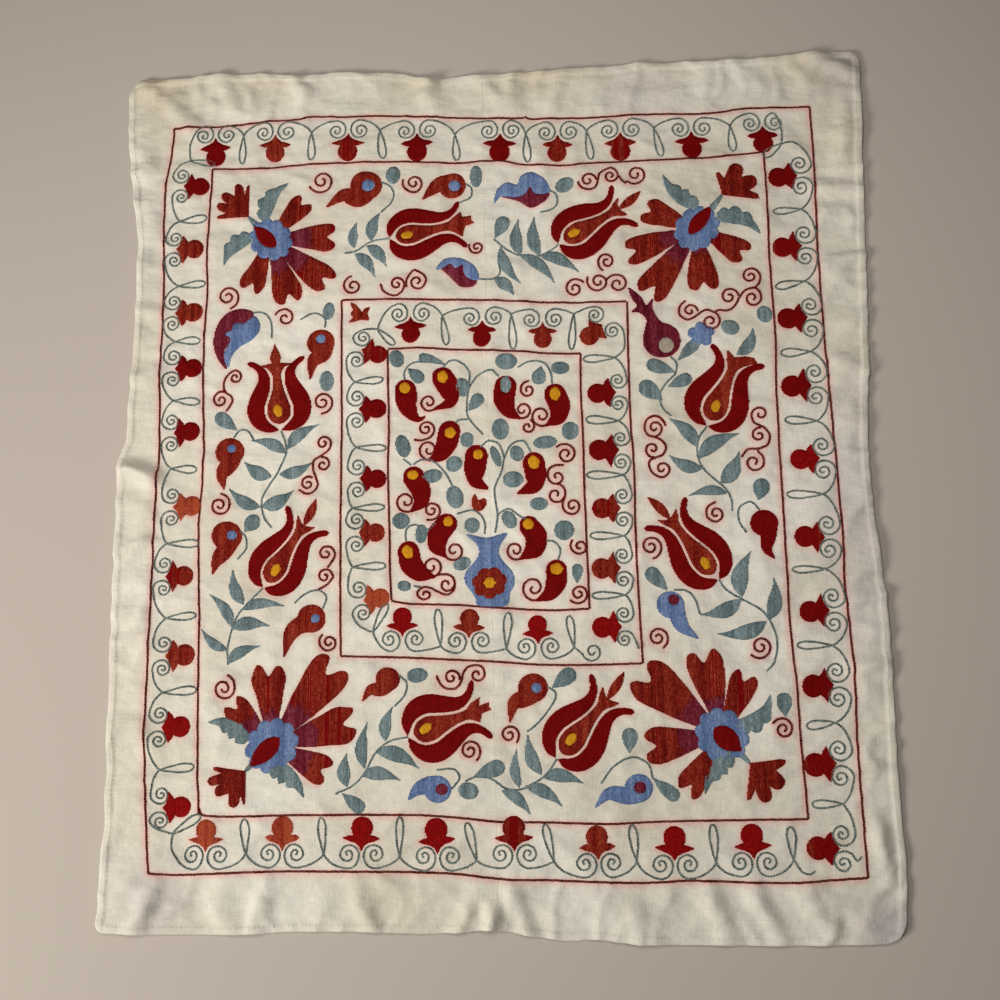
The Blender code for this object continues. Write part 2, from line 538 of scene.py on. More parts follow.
FILLS = {key: Threads() for key in ("red", "rust", "plum", "blue", "teal", "yellow", "grey")}
CHAINS = {key: Threads() for key in ("frame", "curl", "scroll", "stem")}
RED_MARKS = []


def tube(around, stations):
    """Side faces of a tube with so many points around it, at so many stations."""
    ring = np.arange(around)
    after = (ring + 1) % around
    side = np.stack([ring, ring + around, after + around, after], 1)
    return np.concatenate([side + around * k for k in range(stations - 1)])


def laid_thread(x, ys, tones, colour):
    """One laid thread along the cloth, at plan x, through the stations ys."""
    count = len(ys)
    xs = np.full(count, x + RNG.uniform(-0.08, 0.08))
    base = top_at(xs, ys)
    high = RNG.uniform(0.85, 1.12)
    points = np.empty((count, 4, 3))
    for k, (across, up) in enumerate(THREAD_PROFILE):
        points[:, k, 0] = xs + across
        points[:, k, 1] = ys
        points[:, k, 2] = base + (up * high if up > 0 else up)
    for end in (0, -1):
        points[end, 1:3, 2] = base[end] + THREAD_END
    last = count * 4 - 4
    ends = np.array([[3, 2, 1, 0], [last, last + 1, last + 2, last + 3]])
    faces = np.concatenate([tube(4, count)[:, [0, 3, 2, 1]], ends])
    FILLS[colour].add(points.reshape(-1, 3), faces, np.repeat(tones, 4))


def row_spans(loop, x):
    """Stretches of the line at plan x that lie inside a loop."""
    a = loop
    b = np.roll(loop, -1, axis=0)
    cross = (a[:, 0] <= x) != (b[:, 0] <= x)
    a, b = a[cross], b[cross]
    hits = sorted(a[:, 1] + (x - a[:, 0]) / (b[:, 0] - a[:, 0]) * (b[:, 1] - a[:, 1]))
    return [(hits[k], hits[k + 1]) for k in range(0, len(hits) - 1, 2)]


def joined(spans):
    """Spans with those that overlap made one."""
    out = []
    for low, high in sorted(spans):
        if out and low <= out[-1][1]:
            out[-1] = (out[-1][0], max(out[-1][1], high))
        else:
            out.append((low, high))
    return out


def without(spans, gaps):
    """Spans with the gaps taken out."""
    for gap_low, gap_high in gaps:
        kept = []
        for low, high in spans:
            if gap_high <= low or gap_low >= high:
                kept.append((low, high))
                continue
            if low < gap_low:
                kept.append((low, gap_low))
            if gap_high < high:
                kept.append((gap_high, high))
        spans = kept
    return spans


def fill(pick, outlines, holes=()):
    """Fill joined outlines with laid threads. pick(x, y, row) gives each place's colour and tone."""
    loops = [np.asarray(loop, float) for loop in outlines]
    voids = [np.asarray(loop, float) for loop in holes]
    low_x = min(loop[:, 0].min() for loop in loops)
    high_x = max(loop[:, 0].max() for loop in loops)
    k = math.ceil(low_x / THREAD_PITCH)
    while k * THREAD_PITCH < high_x:
        x = k * THREAD_PITCH
        row = RNG.random()
        spans = joined([span for loop in loops for span in row_spans(loop, x)])
        for low, high in without(spans, [span for loop in voids for span in row_spans(loop, x)]):
            if high - low < SHORTEST_ROW:
                continue
            low -= RNG.uniform(0.0, ROW_OVERRUN)
            high += RNG.uniform(0.0, ROW_OVERRUN)
            count = max(2, int(math.ceil((high - low) / TIE_PITCH)) + 1)
            ys = np.linspace(low, high, count)
            picks = [pick(x, 0.5 * (ys[j] + ys[j + 1]), row) for j in range(count - 1)]
            j = 0
            while j < count - 1:
                stop = j
                while stop + 1 < count - 1 and picks[stop + 1][0] == picks[j][0]:
                    stop += 1
                tones = [p[1] for p in picks[j:stop + 1]]
                tones.append(tones[-1])
                laid_thread(x, ys[j:stop + 2], np.array(tones), picks[j][0])
                j = stop + 1
        k += 1


def red_work(pick, outlines, holes=()):
    """Fill outlines with thread whose red dye bleeds, and remember where it lies."""
    fill(pick, outlines, holes)
    RED_MARKS.extend(np.asarray(outline, float) for outline in outlines)


def solid(colour, tone, spread=0.06):
    """Colour picker for one plain thread."""
    def pick(x, y, row):
        return colour, tone + spread * (row - 0.5) + RNG.uniform(-0.04, 0.04)
    return pick


def heather(colour, tone, spread=0.26):
    """Colour picker for a thread dyed unevenly along its length."""
    def pick(x, y, row):
        return colour, tone + spread * stripe(x) + 0.2 * (row - 0.5) + RNG.uniform(-0.14, 0.14)
    return pick


def mixed(x, y, row):
    """Red and rust threads side by side."""
    if stripe(x) + 0.8 * (row - 0.5) > 0.05:
        return "red", 0.4 + RNG.uniform(-0.1, 0.1)
    return "rust", 0.4 + RNG.uniform(-0.25, 0.25)


PICKS = {
    "red": solid("red", 0.25),
    "bright": solid("red", 0.6),
    "rust": heather("rust", 0.45),
    "salmon": heather("rust", 0.95, 0.3),
    "mixed": mixed,
    "blue": heather("blue", 0.5),
    "teal": heather("teal", 0.5),
    "plum": heather("plum", 0.5),
    "yellow": solid("yellow", 0.5, 0.3),
    "grey": heather("grey", 0.5, 0.2),
}


def chain(colour, points, tone=0.5):
    """Chain stitch along a polyline: every link is two bowed legs."""
    path = np.asarray(points, float)
    steps = np.linalg.norm(np.diff(path, axis=0), axis=1)
    length = np.concatenate([[0], np.cumsum(steps)])
    total = length[-1]
    count = max(2, int(round(total / CHAIN_PITCH)))
    width, radius = CHAIN_SIZES[colour]
    pitch = total / count
    starts = np.arange(count) * pitch
    wave = np.array([RNG.uniform(-0.2, 0.2) for _ in range(count)])
    tones = np.array([tone + RNG.uniform(-0.45, 0.45) for _ in range(count)])

    def at(distance):
        """Points of the path at distances along it."""
        d = np.clip(distance, 0, total)
        return np.stack([np.interp(d, length, path[:, 0]), np.interp(d, length, path[:, 1])], 1)

    stations = len(CHAIN_LEG)
    size = 3 * stations
    caps = np.array([[0, 1, 2], [size - 1, size - 2, size - 3]])
    shift = (np.arange(count) * size)[:, None, None]
    for side in (-1, 1):
        rings = []
        for along, across, up in CHAIN_LEG:
            d = starts + along * pitch
            ahead = at(d + 0.5) - at(d - 0.5)
            ahead /= np.linalg.norm(ahead, axis=1)[:, None] + TINY
            normal = np.stack([-ahead[:, 1], ahead[:, 0]], 1)
            middle = at(d) + normal * (side * across * width + wave)[:, None]
            z = top_at(middle[:, 0], middle[:, 1])
            ring = np.empty((count, 3, 3))
            for k, off in enumerate((-radius, 0.0, radius)):
                ring[:, k, :2] = middle + normal * off
                ring[:, k, 2] = z + (CHAIN_HEIGHT * up if k == 1 else -CHAIN_SINK)
            rings.append(ring)
        CHAINS[colour].add(
            np.stack(rings, 1).reshape(-1, 3),
            (tube(3, stations)[None] + shift).reshape(-1, 4),
            np.repeat(tones, size),
            (caps[None] + shift).reshape(-1, 3),
        )


def line(colour, points, tone=0.5):
    """Chain stitch along a smooth curve through points."""
    chain(colour, smooth(points, step=1.2), tone)


# ---------------------------------------------------------------- motifs
# Half outline of a fruit's leaves and tip, its middle and its radius: in the rows along the top and
# bottom, and in the columns at the sides.
FRUIT_ROW = (
    ((1.5, 0), (-4, 3), (-7.5, 8), (-9, 14), (-12, 20), (-14.5, 13.5), (-15, 9.8)),
    -22.5,
    11.8,
)
FRUIT_COLUMN = (
    ((1.5, 0), (-1.5, 4), (-3.8, 10), (-6.2, 17.3), (-10, 12.5), (-12.6, 8.8)),
    -19.5,
    11.3,
)


def fruit(x, y, heading, kind, size=1.0):
    """Round bud with two side leaves and a pointed tip at x, y."""
    crown, middle, radius = FRUIT_ROW if abs(heading) == 90 else FRUIT_COLUMN
    s = size * RNG.uniform(0.96, 1.04)
    crown = [(a + RNG.uniform(-0.5, 0.5), b * RNG.uniform(0.93, 1.07)) for a, b in crown]
    body = [polar(middle, 0, 50 + k * 18.5, radius) for k in range(8)]
    outline = turn(mirrored(crown + body), (x, y), heading + RNG.uniform(-4, 4), s)
    red_work(PICKS[kind], [outline])


# The curl on one side of a fruit, from its arch in: along, across.
SPIRAL_HALF = (
    (19.8, 13), (15, 5.5), (6.5, 2.6), (-1.5, 5.5), (-5.2, 13), (-2, 21), (5.5, 24),
    (11.5, 19.5), (11, 12.5), (5.5, 10), (0.5, 13.5), (3.0, 18), (6.5, 15.5),
)
# Part of a quarter turn that an arch takes up.
ARCH_ANGLE = 72.0


def border_spiral(x, y, heading, side, size, cross=None):
    """The curl beside a fruit, from its outer end in, with the arch that leads to it from a crossing."""
    shift = 13 * (1 - size)
    path = turn([(a * size, (b * size + shift) * side) for a, b in SPIRAL_HALF], (x, y), heading)
    if cross is None:
        return path
    angle = math.radians(heading)
    dx, dy = cross[0] - x, cross[1] - y
    cross_along = dx * math.cos(angle) + dy * math.sin(angle)
    cross_across = abs(dy * math.cos(angle) - dx * math.sin(angle))
    # Round a corner of the border the arch swings wider.
    reach = 1.17 * cross_across if abs(cross_along) > 15 else cross_across
    top = SPIRAL_HALF[0][0] * size
    foot = SPIRAL_HALF[0][1] * size + shift
    full = math.radians(ARCH_ANGLE)
    arch = []
    for t in (0.75, 0.5, 0.25):
        b = foot + (reach - foot) * math.sin(t * full) / math.sin(full)
        rise = (math.cos(t * full) - math.cos(full)) / (1 - math.cos(full))
        arch.append((cross_along + (top - cross_along) * rise, b * side))
    return np.vstack([turn(arch, (x, y), heading), path])


def side_of(x, y, heading, target):
    """Which side of the heading a target lies on."""
    a = math.radians(heading)
    return 1 if (target[1] - y) * math.cos(a) - (target[0] - x) * math.sin(a) > 0 else -1


# Long drop between two curls: share of its length, share of its half width.
LOOP = (
    (0.0, 0.0), (0.38, 0.72), (0.72, 1.0), (0.94, 0.62), (1.0, 0.0),
    (0.94, -0.62), (0.72, -1.0), (0.38, -0.72), (0.0, 0.0),
)


def scroll_loop(out_end, cross, end):
    """Waypoints of the long drop between two curls, crossing itself on the way."""
    cross = np.array(cross, float)
    along = np.array(end, float) - cross
    length = np.linalg.norm(along)
    along /= length
    normal = np.array([-along[1], along[0]])
    if np.dot(normal, cross - np.array(out_end)) < 0:
        normal = -normal
    half = RNG.uniform(4.0, 5.0)
    return [cross + along * length * a + normal * half * b for a, b in LOOP]


def border(rows, sizes, lead, finish):
    """Running scroll with a fruit at each row: tip x, tip y, heading, kind, crossing, drop end.

    Sizes are those of the fruit and the curl by side, and lead is the first crossing, drop end and path.
    """
    def size_of(heading):
        """Sizes for the side of the border that a heading belongs to."""
        return sizes[round(heading / 90) * 90]

    def curl(row, cross, near=True):
        """The curl of a row on the crossing's side of its fruit, or on the far side."""
        x, y, heading = row[:3]
        side = side_of(x, y, heading, cross)
        arch_from = cross if near else None
        return border_spiral(x, y, heading, side if near else -side, size_of(heading)[1], arch_from)

    for x, y, heading, kind, *_ in rows:
        fruit(x, y, heading, kind, size_of(heading)[0])
    cross, end, start = lead
    line("scroll", list(start) + scroll_loop(start[-1], cross, end) + list(curl(rows[0], cross)))
    for row, following in zip(rows[:-1], rows[1:]):
        cross = row[4:6]
        outward = curl(row, cross)[::-1]
        loop = scroll_loop(outward[-1], cross, row[6:8])
        line("scroll", list(outward) + loop + list(curl(following, cross)), RNG.uniform(0.35, 0.65))
    line("scroll", [finish] + list(curl(rows[-1], rows[-2][4:6], False)))


def bent_spine(base, tip, bend, last):
    """A spine from base to tip, bowed to one side."""
    along = tip - base
    bow = np.array([-along[1], along[0]]) * bend
    return [base, base + 0.35 * along + bow, base + 0.7 * along + last * bow, tip]


def leaf(x0, y0, x1, y1, width, bend=0.1):
    """Pointed leaf from its stalk end to its tip."""
    spine = bent_spine(np.array((x0, y0), float), np.array((x1, y1), float), bend, 0.8)
    w = width / 2
    fill(PICKS["teal"], [bean(spine, (0.5, 0.72 * w, w, 0.95 * w, 0.62 * w, 0.25 * w, 0.2))])


def drop(x0, y0, x1, y1, width):
    """Drop-shaped leaf from its point to its round end."""
    base = np.array((x0, y0), float)
    along = np.array((x1, y1), float) - base
    w = width / 2
    along *= 1 - w / np.linalg.norm(along)
    spine = [base, base + 0.5 * along, base + along]
    fill(PICKS["teal"], [bean(spine, (0.4, 0.4 * w, 0.78 * w, 0.97 * w, w))])


# The two edges of a tulip's petal and one side of its body, unscaled: along, across.
PETAL_OUTER = (
    (0, 1), (-2, 12), (3, 23), (13, 31), (27, 34.5), (42, 32.5), (56, 26.5), (68, 21), (77, 20),
    (85, 23.5), (91, 30), (95.5, 31),
)
PETAL_INNER = (
    (95.5, 31), (95.5, 26), (91, 19.5), (84, 13), (76, 9.2), (66, 7.9), (54, 9.6), (42, 12.6),
    (30, 15.6), (18, 14.6), (10, 10.5), (4.5, 4.8), (0, 1),
)
BODY_SIDE = (
    (8, 0), (11, 6.5), (18, 11.4), (30, 12.4), (42, 9.4), (54, 6.4), (66, 4.7), (76, 5.2), (84, 9.5),
)
CROWNS = {
    "leaf": ((94, 13), (88, 5), (87, 0), (88, -5), (92, -13)),
    "bud": mirrored(((88, 19), (89, 10), (90, 4), (97, 6), (104, 4.5), (112, 1.5), (119, 0))),
    "short": ((95, 16), (96, 9), (108, 8.5), (107, 2), (110, -1.5), (98, -3), (95, -8), (92, -16)),
    "none": ((96, 13), (90, 3), (97, -8), (99, -16), (94, -22)),
    "stub": ((97, 12), (92, 4), (106, 4), (103, 0), (106, -4), (92, -4), (88, -12)),
}
CROWN_LEAF = ((86, 0), (97, 1), (109, 2.5), (121, 5))


def tulip(x, y, heading, long, wide, crown, eye_at):
    """Open tulip: two flaring outer petals, a waisted body with an eye, and its crown."""
    def place(points):
        """Tulip points set at its base, on its heading and at its size."""
        return turn([(a * long, b * wide) for a, b in points], (x, y), heading)

    for side in (1, -1):
        swell = RNG.uniform(0.97, 1.03) * side
        runs = [smooth(place([(a, b * swell) for a, b in run])) for run in (PETAL_OUTER, PETAL_INNER)]
        red_work(PICKS["red"], [np.vstack(runs)])
    other_side = [(a, -b) for a, b in reversed(BODY_SIDE)]
    ring = np.vstack([smooth(place(BODY_SIDE)), place(CROWNS[crown]), smooth(place(other_side))])
    eye = turn(oval(*eye_at, 7.6, 5.0, RNG.uniform(-15, 15), 5, 0.05), (x, y), heading)
    red_work(PICKS["rust"], [ring], [eye])
    fill(PICKS["yellow"], [eye])
    if crown == "leaf":
        red_work(PICKS["rust"], [bean(place(CROWN_LEAF), (0.5, 4.2, 5.4, 4.0, 0.4))])


def bud(spine, radius, notch, kind="rust", eye=None, eye_kind="blue"):
    """Bud with a round head and a narrower tail, notched on one side where they meet (1 left, -1 right)."""
    path = np.array(spine, float)
    shift = -notch * 0.36 * radius * np.linspace(1, 0, len(path))
    tail_path = path + directions(path)[1] * shift[:, None]
    tail = bean(tail_path, [radius * part for part in (0.58, 0.6, 0.52, 0.3, 0.04)])
    head = oval(*path[0], radius, 0.95 * radius, RNG.uniform(-30, 30))
    hole = [oval(*eye, eye[2] * 0.92)] if eye else []
    work = fill if kind == "blue" else red_work
    work(PICKS[kind], [head, tail], hole)
    if hole:
        fill(PICKS[eye_kind], hole)


def pepper(spine, widths, eye, curl=None, eye_kind="yellow"):
    """Red pepper with an eye at its head and, given a middle and a sweep, a curled tail."""
    hole = oval(*eye, 5, 0.05)
    red_work(PICKS["red"], [bean(spine, widths)], [hole])
    fill(PICKS[eye_kind], [hole])
    if curl:
        line("curl", curl_from(spine[-1], *curl))


ALMOND = mirrored(((1, 0), (0.72, 0.42), (0.35, 0.82), (-0.1, 1.0), (-0.55, 0.86), (-0.88, 0.42), (-1, 0)))
# Outline of a notched petal: share of its reach, share of its half width. It starts at PETAL_FOOT.
PETAL = (
    (0.42, -0.6), (0.64, -0.84), (0.82, -1), (0.93, -0.92), (0.99, -0.66), (0.98, -0.38), (0.9, -0.14),
    (0.87, 0.04), (0.91, 0.2), (0.99, 0.42), (1.01, 0.7), (0.94, 0.93), (0.83, 1), (0.64, 0.84),
    (0.42, 0.6),
)
PETAL_FOOT = (20, 5.5)


def rosette(x, y, petals, eye, calyx, leaf_pair, fan):
    """Corner flower: notched petals about a scalloped calyx, two saw-edged leaves and a small fan."""
    ring = oval(x, y, *calyx, 10, 0.09, 132)
    foot, foot_half = PETAL_FOOT
    for heading, reach, half, plum_reach in petals:
        def petal_pick(px, py, row):
            """Plum near the calyx, and rust with some red beyond."""
            zone = math.hypot(px - x, py - y) + 5 * (row - 0.5) + RNG.uniform(-4, 4)
            if zone < plum_reach:
                return "plum", 0.5 + 0.25 * stripe(px) + RNG.uniform(-0.15, 0.15)
            if stripe(px) + 0.5 * (row - 0.5) > 0.62:
                return "red", 0.35 + RNG.uniform(-0.1, 0.1)
            return "rust", 0.42 + 0.28 * stripe(px) + RNG.uniform(-0.22, 0.22)

        outline = [(a * reach, b * half) for a, b in PETAL]
        outline = [(foot, -foot_half), *outline, (foot, foot_half)]
        outline = [(a * RNG.uniform(0.985, 1.015), b * RNG.uniform(0.96, 1.04)) for a, b in outline]
        red_work(petal_pick, [turn(smooth(outline, closed=True), (x, y), heading)], [ring])
    *eye_at, long, wide, tilt = eye
    almond = turn([(a * long, b * wide) for a, b in ALMOND], eye_at, tilt)
    fill(PICKS["blue"], [ring], [almond])
    red_work(PICKS["red"], [almond])
    for row in leaf_pair:
        saw_leaf(*row)
    red_work(heather("rust", 0.3), [fan_outline(*fan)])
    centre = np.array((x, y), float)
    fan_foot = np.array(fan[:2], float)
    nook = centre + 0.62 * (fan_foot - centre)
    stalk = bean([nook, 0.5 * (nook + fan_foot), fan_foot], (4.2, 3.2, 2.4, 1.4))
    fill(PICKS["teal"], [stalk], [ring])


# Lobes of a small fan: share of the half angle, share of the reach.
FIRST_LOBE = ((-0.1, 0.45), (-0.12, 0.85), (0, 1), (0.34, 0.97), (0.62, 0.85))
LAST_LOBE = tuple((-a, b) for a, b in reversed(FIRST_LOBE))
INNER_LOBE = ((-0.72, 0.86), (-0.5, 0.95), (-0.2, 1), (0.2, 1), (0.5, 0.95), (0.72, 0.86))
FAN_SIZE = 1.08
FAN_NOTCH = 0.72


def fan_outline(x, y, lobes):
    """Small fan on its base point: pointed outer lobes and round inner ones, given as heading and reach."""
    out = [(x, y)]
    last = len(lobes) - 1
    for k, (heading, reach) in enumerate(lobes):
        beside = [lobes[j][0] for j in (k - 1, k + 1) if 0 <= j <= last]
        half = 0.5 * sum(abs(heading - other) for other in beside) / len(beside)
        shape = FIRST_LOBE if k == 0 else LAST_LOBE if k == last else INNER_LOBE
        if k:
            before, before_reach = lobes[k - 1]
            notch = FAN_NOTCH * FAN_SIZE * min(reach, before_reach)
            out.append(polar(x, y, 0.5 * (heading + before), notch))
        out += [polar(x, y, heading + a * half, b * FAN_SIZE * reach) for a, b in shape]
    return np.array(out)


def saw_leaf(x0, y0, x1, y1, bend, side):
    """Curved leaf with a scalloped outer edge."""
    spine = bent_spine(np.array((x0, y0), float), np.array((x1, y1), float), bend, 1.0)
    line_points = smooth(spine, step=1.4)
    share = np.linspace(0, 1, len(line_points))
    half = 10.5 * np.interp(share, (0, 0.15, 0.35, 0.6, 0.85, 1), (0.55, 0.85, 1.0, 0.75, 0.35, 0.02))
    outward = directions(line_points)[1] * side
    scallop = 0.92 + 0.5 * np.abs(np.sin(np.pi * share * 4.2)) ** 0.8 * (share < 0.72)
    outer = line_points + outward * (half * scallop)[:, None]
    inner = line_points - outward * (half * 0.72)[:, None]
    fill(PICKS["teal"], [np.vstack([outer, inner[::-1]])])


# ---------------------------------------------------------------- the pattern
# Stitched frames, one side at a time, from the outermost in.
FRAME_LINES = (
    ((-398, -451), (-402, -400), (-407, -330), (-409, -250), (-408, -120), (-408, -50), (-406, 20),
     (-408, 120), (-409, 240), (-412, 340), (-411, 385), (-406, 425), (-404, 456)),
    ((-404, 456), (-385, 456.5), (-330, 458), (-270, 462), (-245, 462), (-222, 466), (-180, 463),
     (-140, 464), (-95, 461), (-50, 458), (-5, 455), (38, 454), (44, 456), (55, 452), (120, 451),
     (200, 452), (270, 451), (325, 455), (397, 454)),
    ((397, 454), (398, 395), (396, 300), (395, 240), (396, 150), (398, 60), (400, -20), (401, -100),
     (399, -135), (402, -200), (403, -250), (401, -330), (402, -460)),
    ((402, -460), (380, -461), (310, -465), (210, -462), (150, -464), (60, -461), (0, -459),
     (-55, -453), (-120, -451), (-200, -450), (-260, -450), (-330, -452), (-370, -453), (-398, -451)),
    ((-342, -387), (-346, -330), (-348, -260), (-350, -160), (-353, -100), (-354, -50), (-351, 15),
     (-352, 60), (-355, 110), (-356, 170), (-354, 240), (-356, 290), (-354, 350), (-352, 399)),
    ((-352, 399), (-290, 398), (-240, 401), (-150, 402), (-100, 400), (-50, 396), (-5, 397), (15, 397),
     (45, 391), (95, 388), (120, 390), (180, 391), (250, 391), (300, 394), (337, 396)),
    ((337, 396), (338, 340), (337, 260), (338, 165), (336, 110), (335, 40), (335, -110), (335, -190),
     (338, -250), (339, -320), (342, -398)),
    ((342, -398), (300, -398), (200, -399), (120, -401), (55, -399), (0, -398), (-50, -393),
     (-100, -390), (-200, -389), (-300, -390), (-330, -389), (-339, -387), (-342, -380)),
    ((-182, -212), (-183, -150), (-184, -60), (-184, 40), (-185, 130), (-186, 220)),
    ((-186, 220), (-130, 220), (-60, 217), (0, 215), (50, 211), (100, 209), (162, 208)),
    ((163, 208), (162, 140), (162, 60), (164, 0), (163, -70), (164, -150), (166, -225)),
    ((166, -225), (110, -226), (50, -225), (0, -221), (-50, -218), (-100, -215), (-182, -212)),
    ((-123, -149), (-125, -110), (-126, -50), (-128, 0), (-127, 60), (-128, 110), (-129, 156)),
    ((-129, 157), (-90, 157), (-50, 154), (0, 151), (35, 149), (60, 146), (105, 144)),
    ((105, 144), (104, 100), (105, 40), (105, -20), (106, -90), (107, -162)),
    ((107, -162), (60, -163), (0, -159), (-50, -155), (-100, -153), (-123, -149)),
)

# Borders, clockwise from the lower right: fruit tip, heading, kind, crossing, drop end.
OUTER_BORDER = (
    (280, -438, -90, "bright", 238, -443, 236, -403),
    (193, -440, -90, "bright", 151, -441, 147, -403),
    (109, -438, -90, "rust", 59, -440, 50, -401),
    (16, -428, -90, "mixed", -27, -439, -37, -399),
    (-70, -430, -90, "bright", -113, -434, -113, -392),
    (-156, -427, -90, "bright", -199, -431, -202, -392),
    (-246, -426, -90, "salmon", -287, -430, -290, -393),
    (-333, -427, -90, "salmon", -371, -408, -340, -388),
    (-383, -380, 180, "bright", -389, -338, -350, -335),
    (-388, -290, 180, "bright", -389, -251, -350, -248),
    (-387, -209, 180, "rust", -389, -165, -354, -162),
    (-390, -116, 180, "mixed", -391, -77, -353, -77),
    (-384, -33, 180, "salmon", -390, 14, -359, 12),
    (-388, 58, 180, "red", -390, 98, -359, 96),
    (-389, 139, 180, "red", -391, 173, -361, 174),
    (-392, 210, 180, "rust", -390, 245, -357, 248),
    (-393, 293, 180, "rust", -391, 330, -358, 334),
    (-387, 377, 180, "red", -381, 412, -350, 406),
    (-350, 440, 90, "red", -314, 442, -315, 405),
    (-273, 441, 90, "rust", -227, 443, -227, 407),
    (-180, 440, 90, "mixed", -140, 443, -136, 407),
    (-93, 437, 90, "red", -45, 434, -43, 400),
    (12, 433, 90, "red", 44, 432, 46, 395),
    (84, 428, 90, "mixed", 120, 433, 125, 395),
    (162, 428, 90, "mixed", 204, 433, 212, 396),
    (250, 427, 90, "red", 298, 432, 301, 400),
    (338, 430, 90, "red", 359, 406, 337, 390),
    (375, 364, 0, "red", 378, 320, 345, 318),
    (375, 273, 0, "mixed", 376, 227, 342, 221),
    (376, 181, 0, "red", 378, 139, 343, 138),
    (376, 98, 0, "red", 380, 54, 343, 56),
    (379, 9, 0, "bright", 381, -34, 340, -33),
    (379, -84, 0, "mixed", 378, -121, 341, -121),
    (379, -168, 0, "red", 380, -208, 341, -207),
    (378, -252, 0, "red", 378, -294, 346, -297),
    (375, -338, 0, "mixed", 380, -382, 347, -382),
    (372, -429, 0, "mixed"),
)

MEDALLION_BORDER = (
    (47, -200, -90, "bright", 10, -205, 13, -165),
    (-33, -192, -90, "rust", -66, -201, -69, -160),
    (-110, -189, -90, "bright", -144, -184, -128, -152),
    (-155, -148, 190, "salmon", -168, -109, -130, -108),
    (-161, -68, 180, "rust", -169, -39, -132, -38),
    (-160, -3, 180, "red", -166, 35, -130, 33),
    (-162, 82, 180, "red", -168, 116, -134, 118),
    (-159, 156, 165, "mixed", -141, 182, -121, 162),
    (-101, 196, 90, "red", -62, 196, -57, 160),
    (-13, 188, 90, "red", 22, 195, 24, 152),
    (60, 184, 90, "rust", 98, 193, 94, 150),
    (131, 179, 45, "rust", 145, 138, 108, 137),
    (144, 95, 0, "red", 147, 60, 109, 62),
    (145, 24, 0, "red", 150, -6, 108, -5),
    (145, -45, 0, "mixed", 149, -78, 110, -77),
    (143, -115, 0, "rust", 148, -147, 110, -147),
    (142, -183, 0, "bright"),
)

# Curls: x, y, radius, angle of the outer end, sweep to the eye.
CURLS = (
    (-213, 378, 15, 200, 600), (-97, 371, 13, 155, 620), (-19, 284, 9, 150, 560),
    (-328, 229, 14, 280, 600), (-256, 200, 12, 165, -520), (-172, 238, 12, 95, 560),
    (100, 227, 12, 30, 560), (129, 235, 13, 150, 600), (152, 231, 13, 165, -560), (140, 260, 11, 250, -560),
    (-208, 92, 13, 262, 600), (-330, -32, 13, 90, -620), (-196, -196, 11, 125, 600),
    (-318, -247, 14, 80, -620),
    (257, -54, 12, 85, 600), (180, -91, 13, 275, 600), (184, -196, 12, 290, 600),
    (300, -208, 13, 215, 600), (320, -300, 12, 155, -600), (-33, -320, 12, 300, 600),
    (12, -303, 11, 310, 560),
    (-76, -43, 11.3, 239, 600), (41, 100.5, 10, 80, 520), (39.5, 55, 8.5, 75, -470),
    (97.8, -89.4, 10.5, 132, 540), (95, -144.2, 11.3, 212, 620),
    # The inner curls of the scrolls below.
    (120, 367, 9.5, 0, 440), (238, 194, 8.5, -10, 430), (285.5, 210.5, 10.5, 0, 500),
    (-333, 98, 10, 60, 520),
    (-206, 14.5, 9, 110, -470), (-224, -8, 8.5, 45, 480), (190, 50.5, 9.5, -90, 450),
    (186.5, 24.5, 9.2, -75, -450), (312, 38.5, 8.5, 70, 450), (-53.5, -238, 9, -20, 480),
    (84, 20.7, 12.5, 144, -590),
)

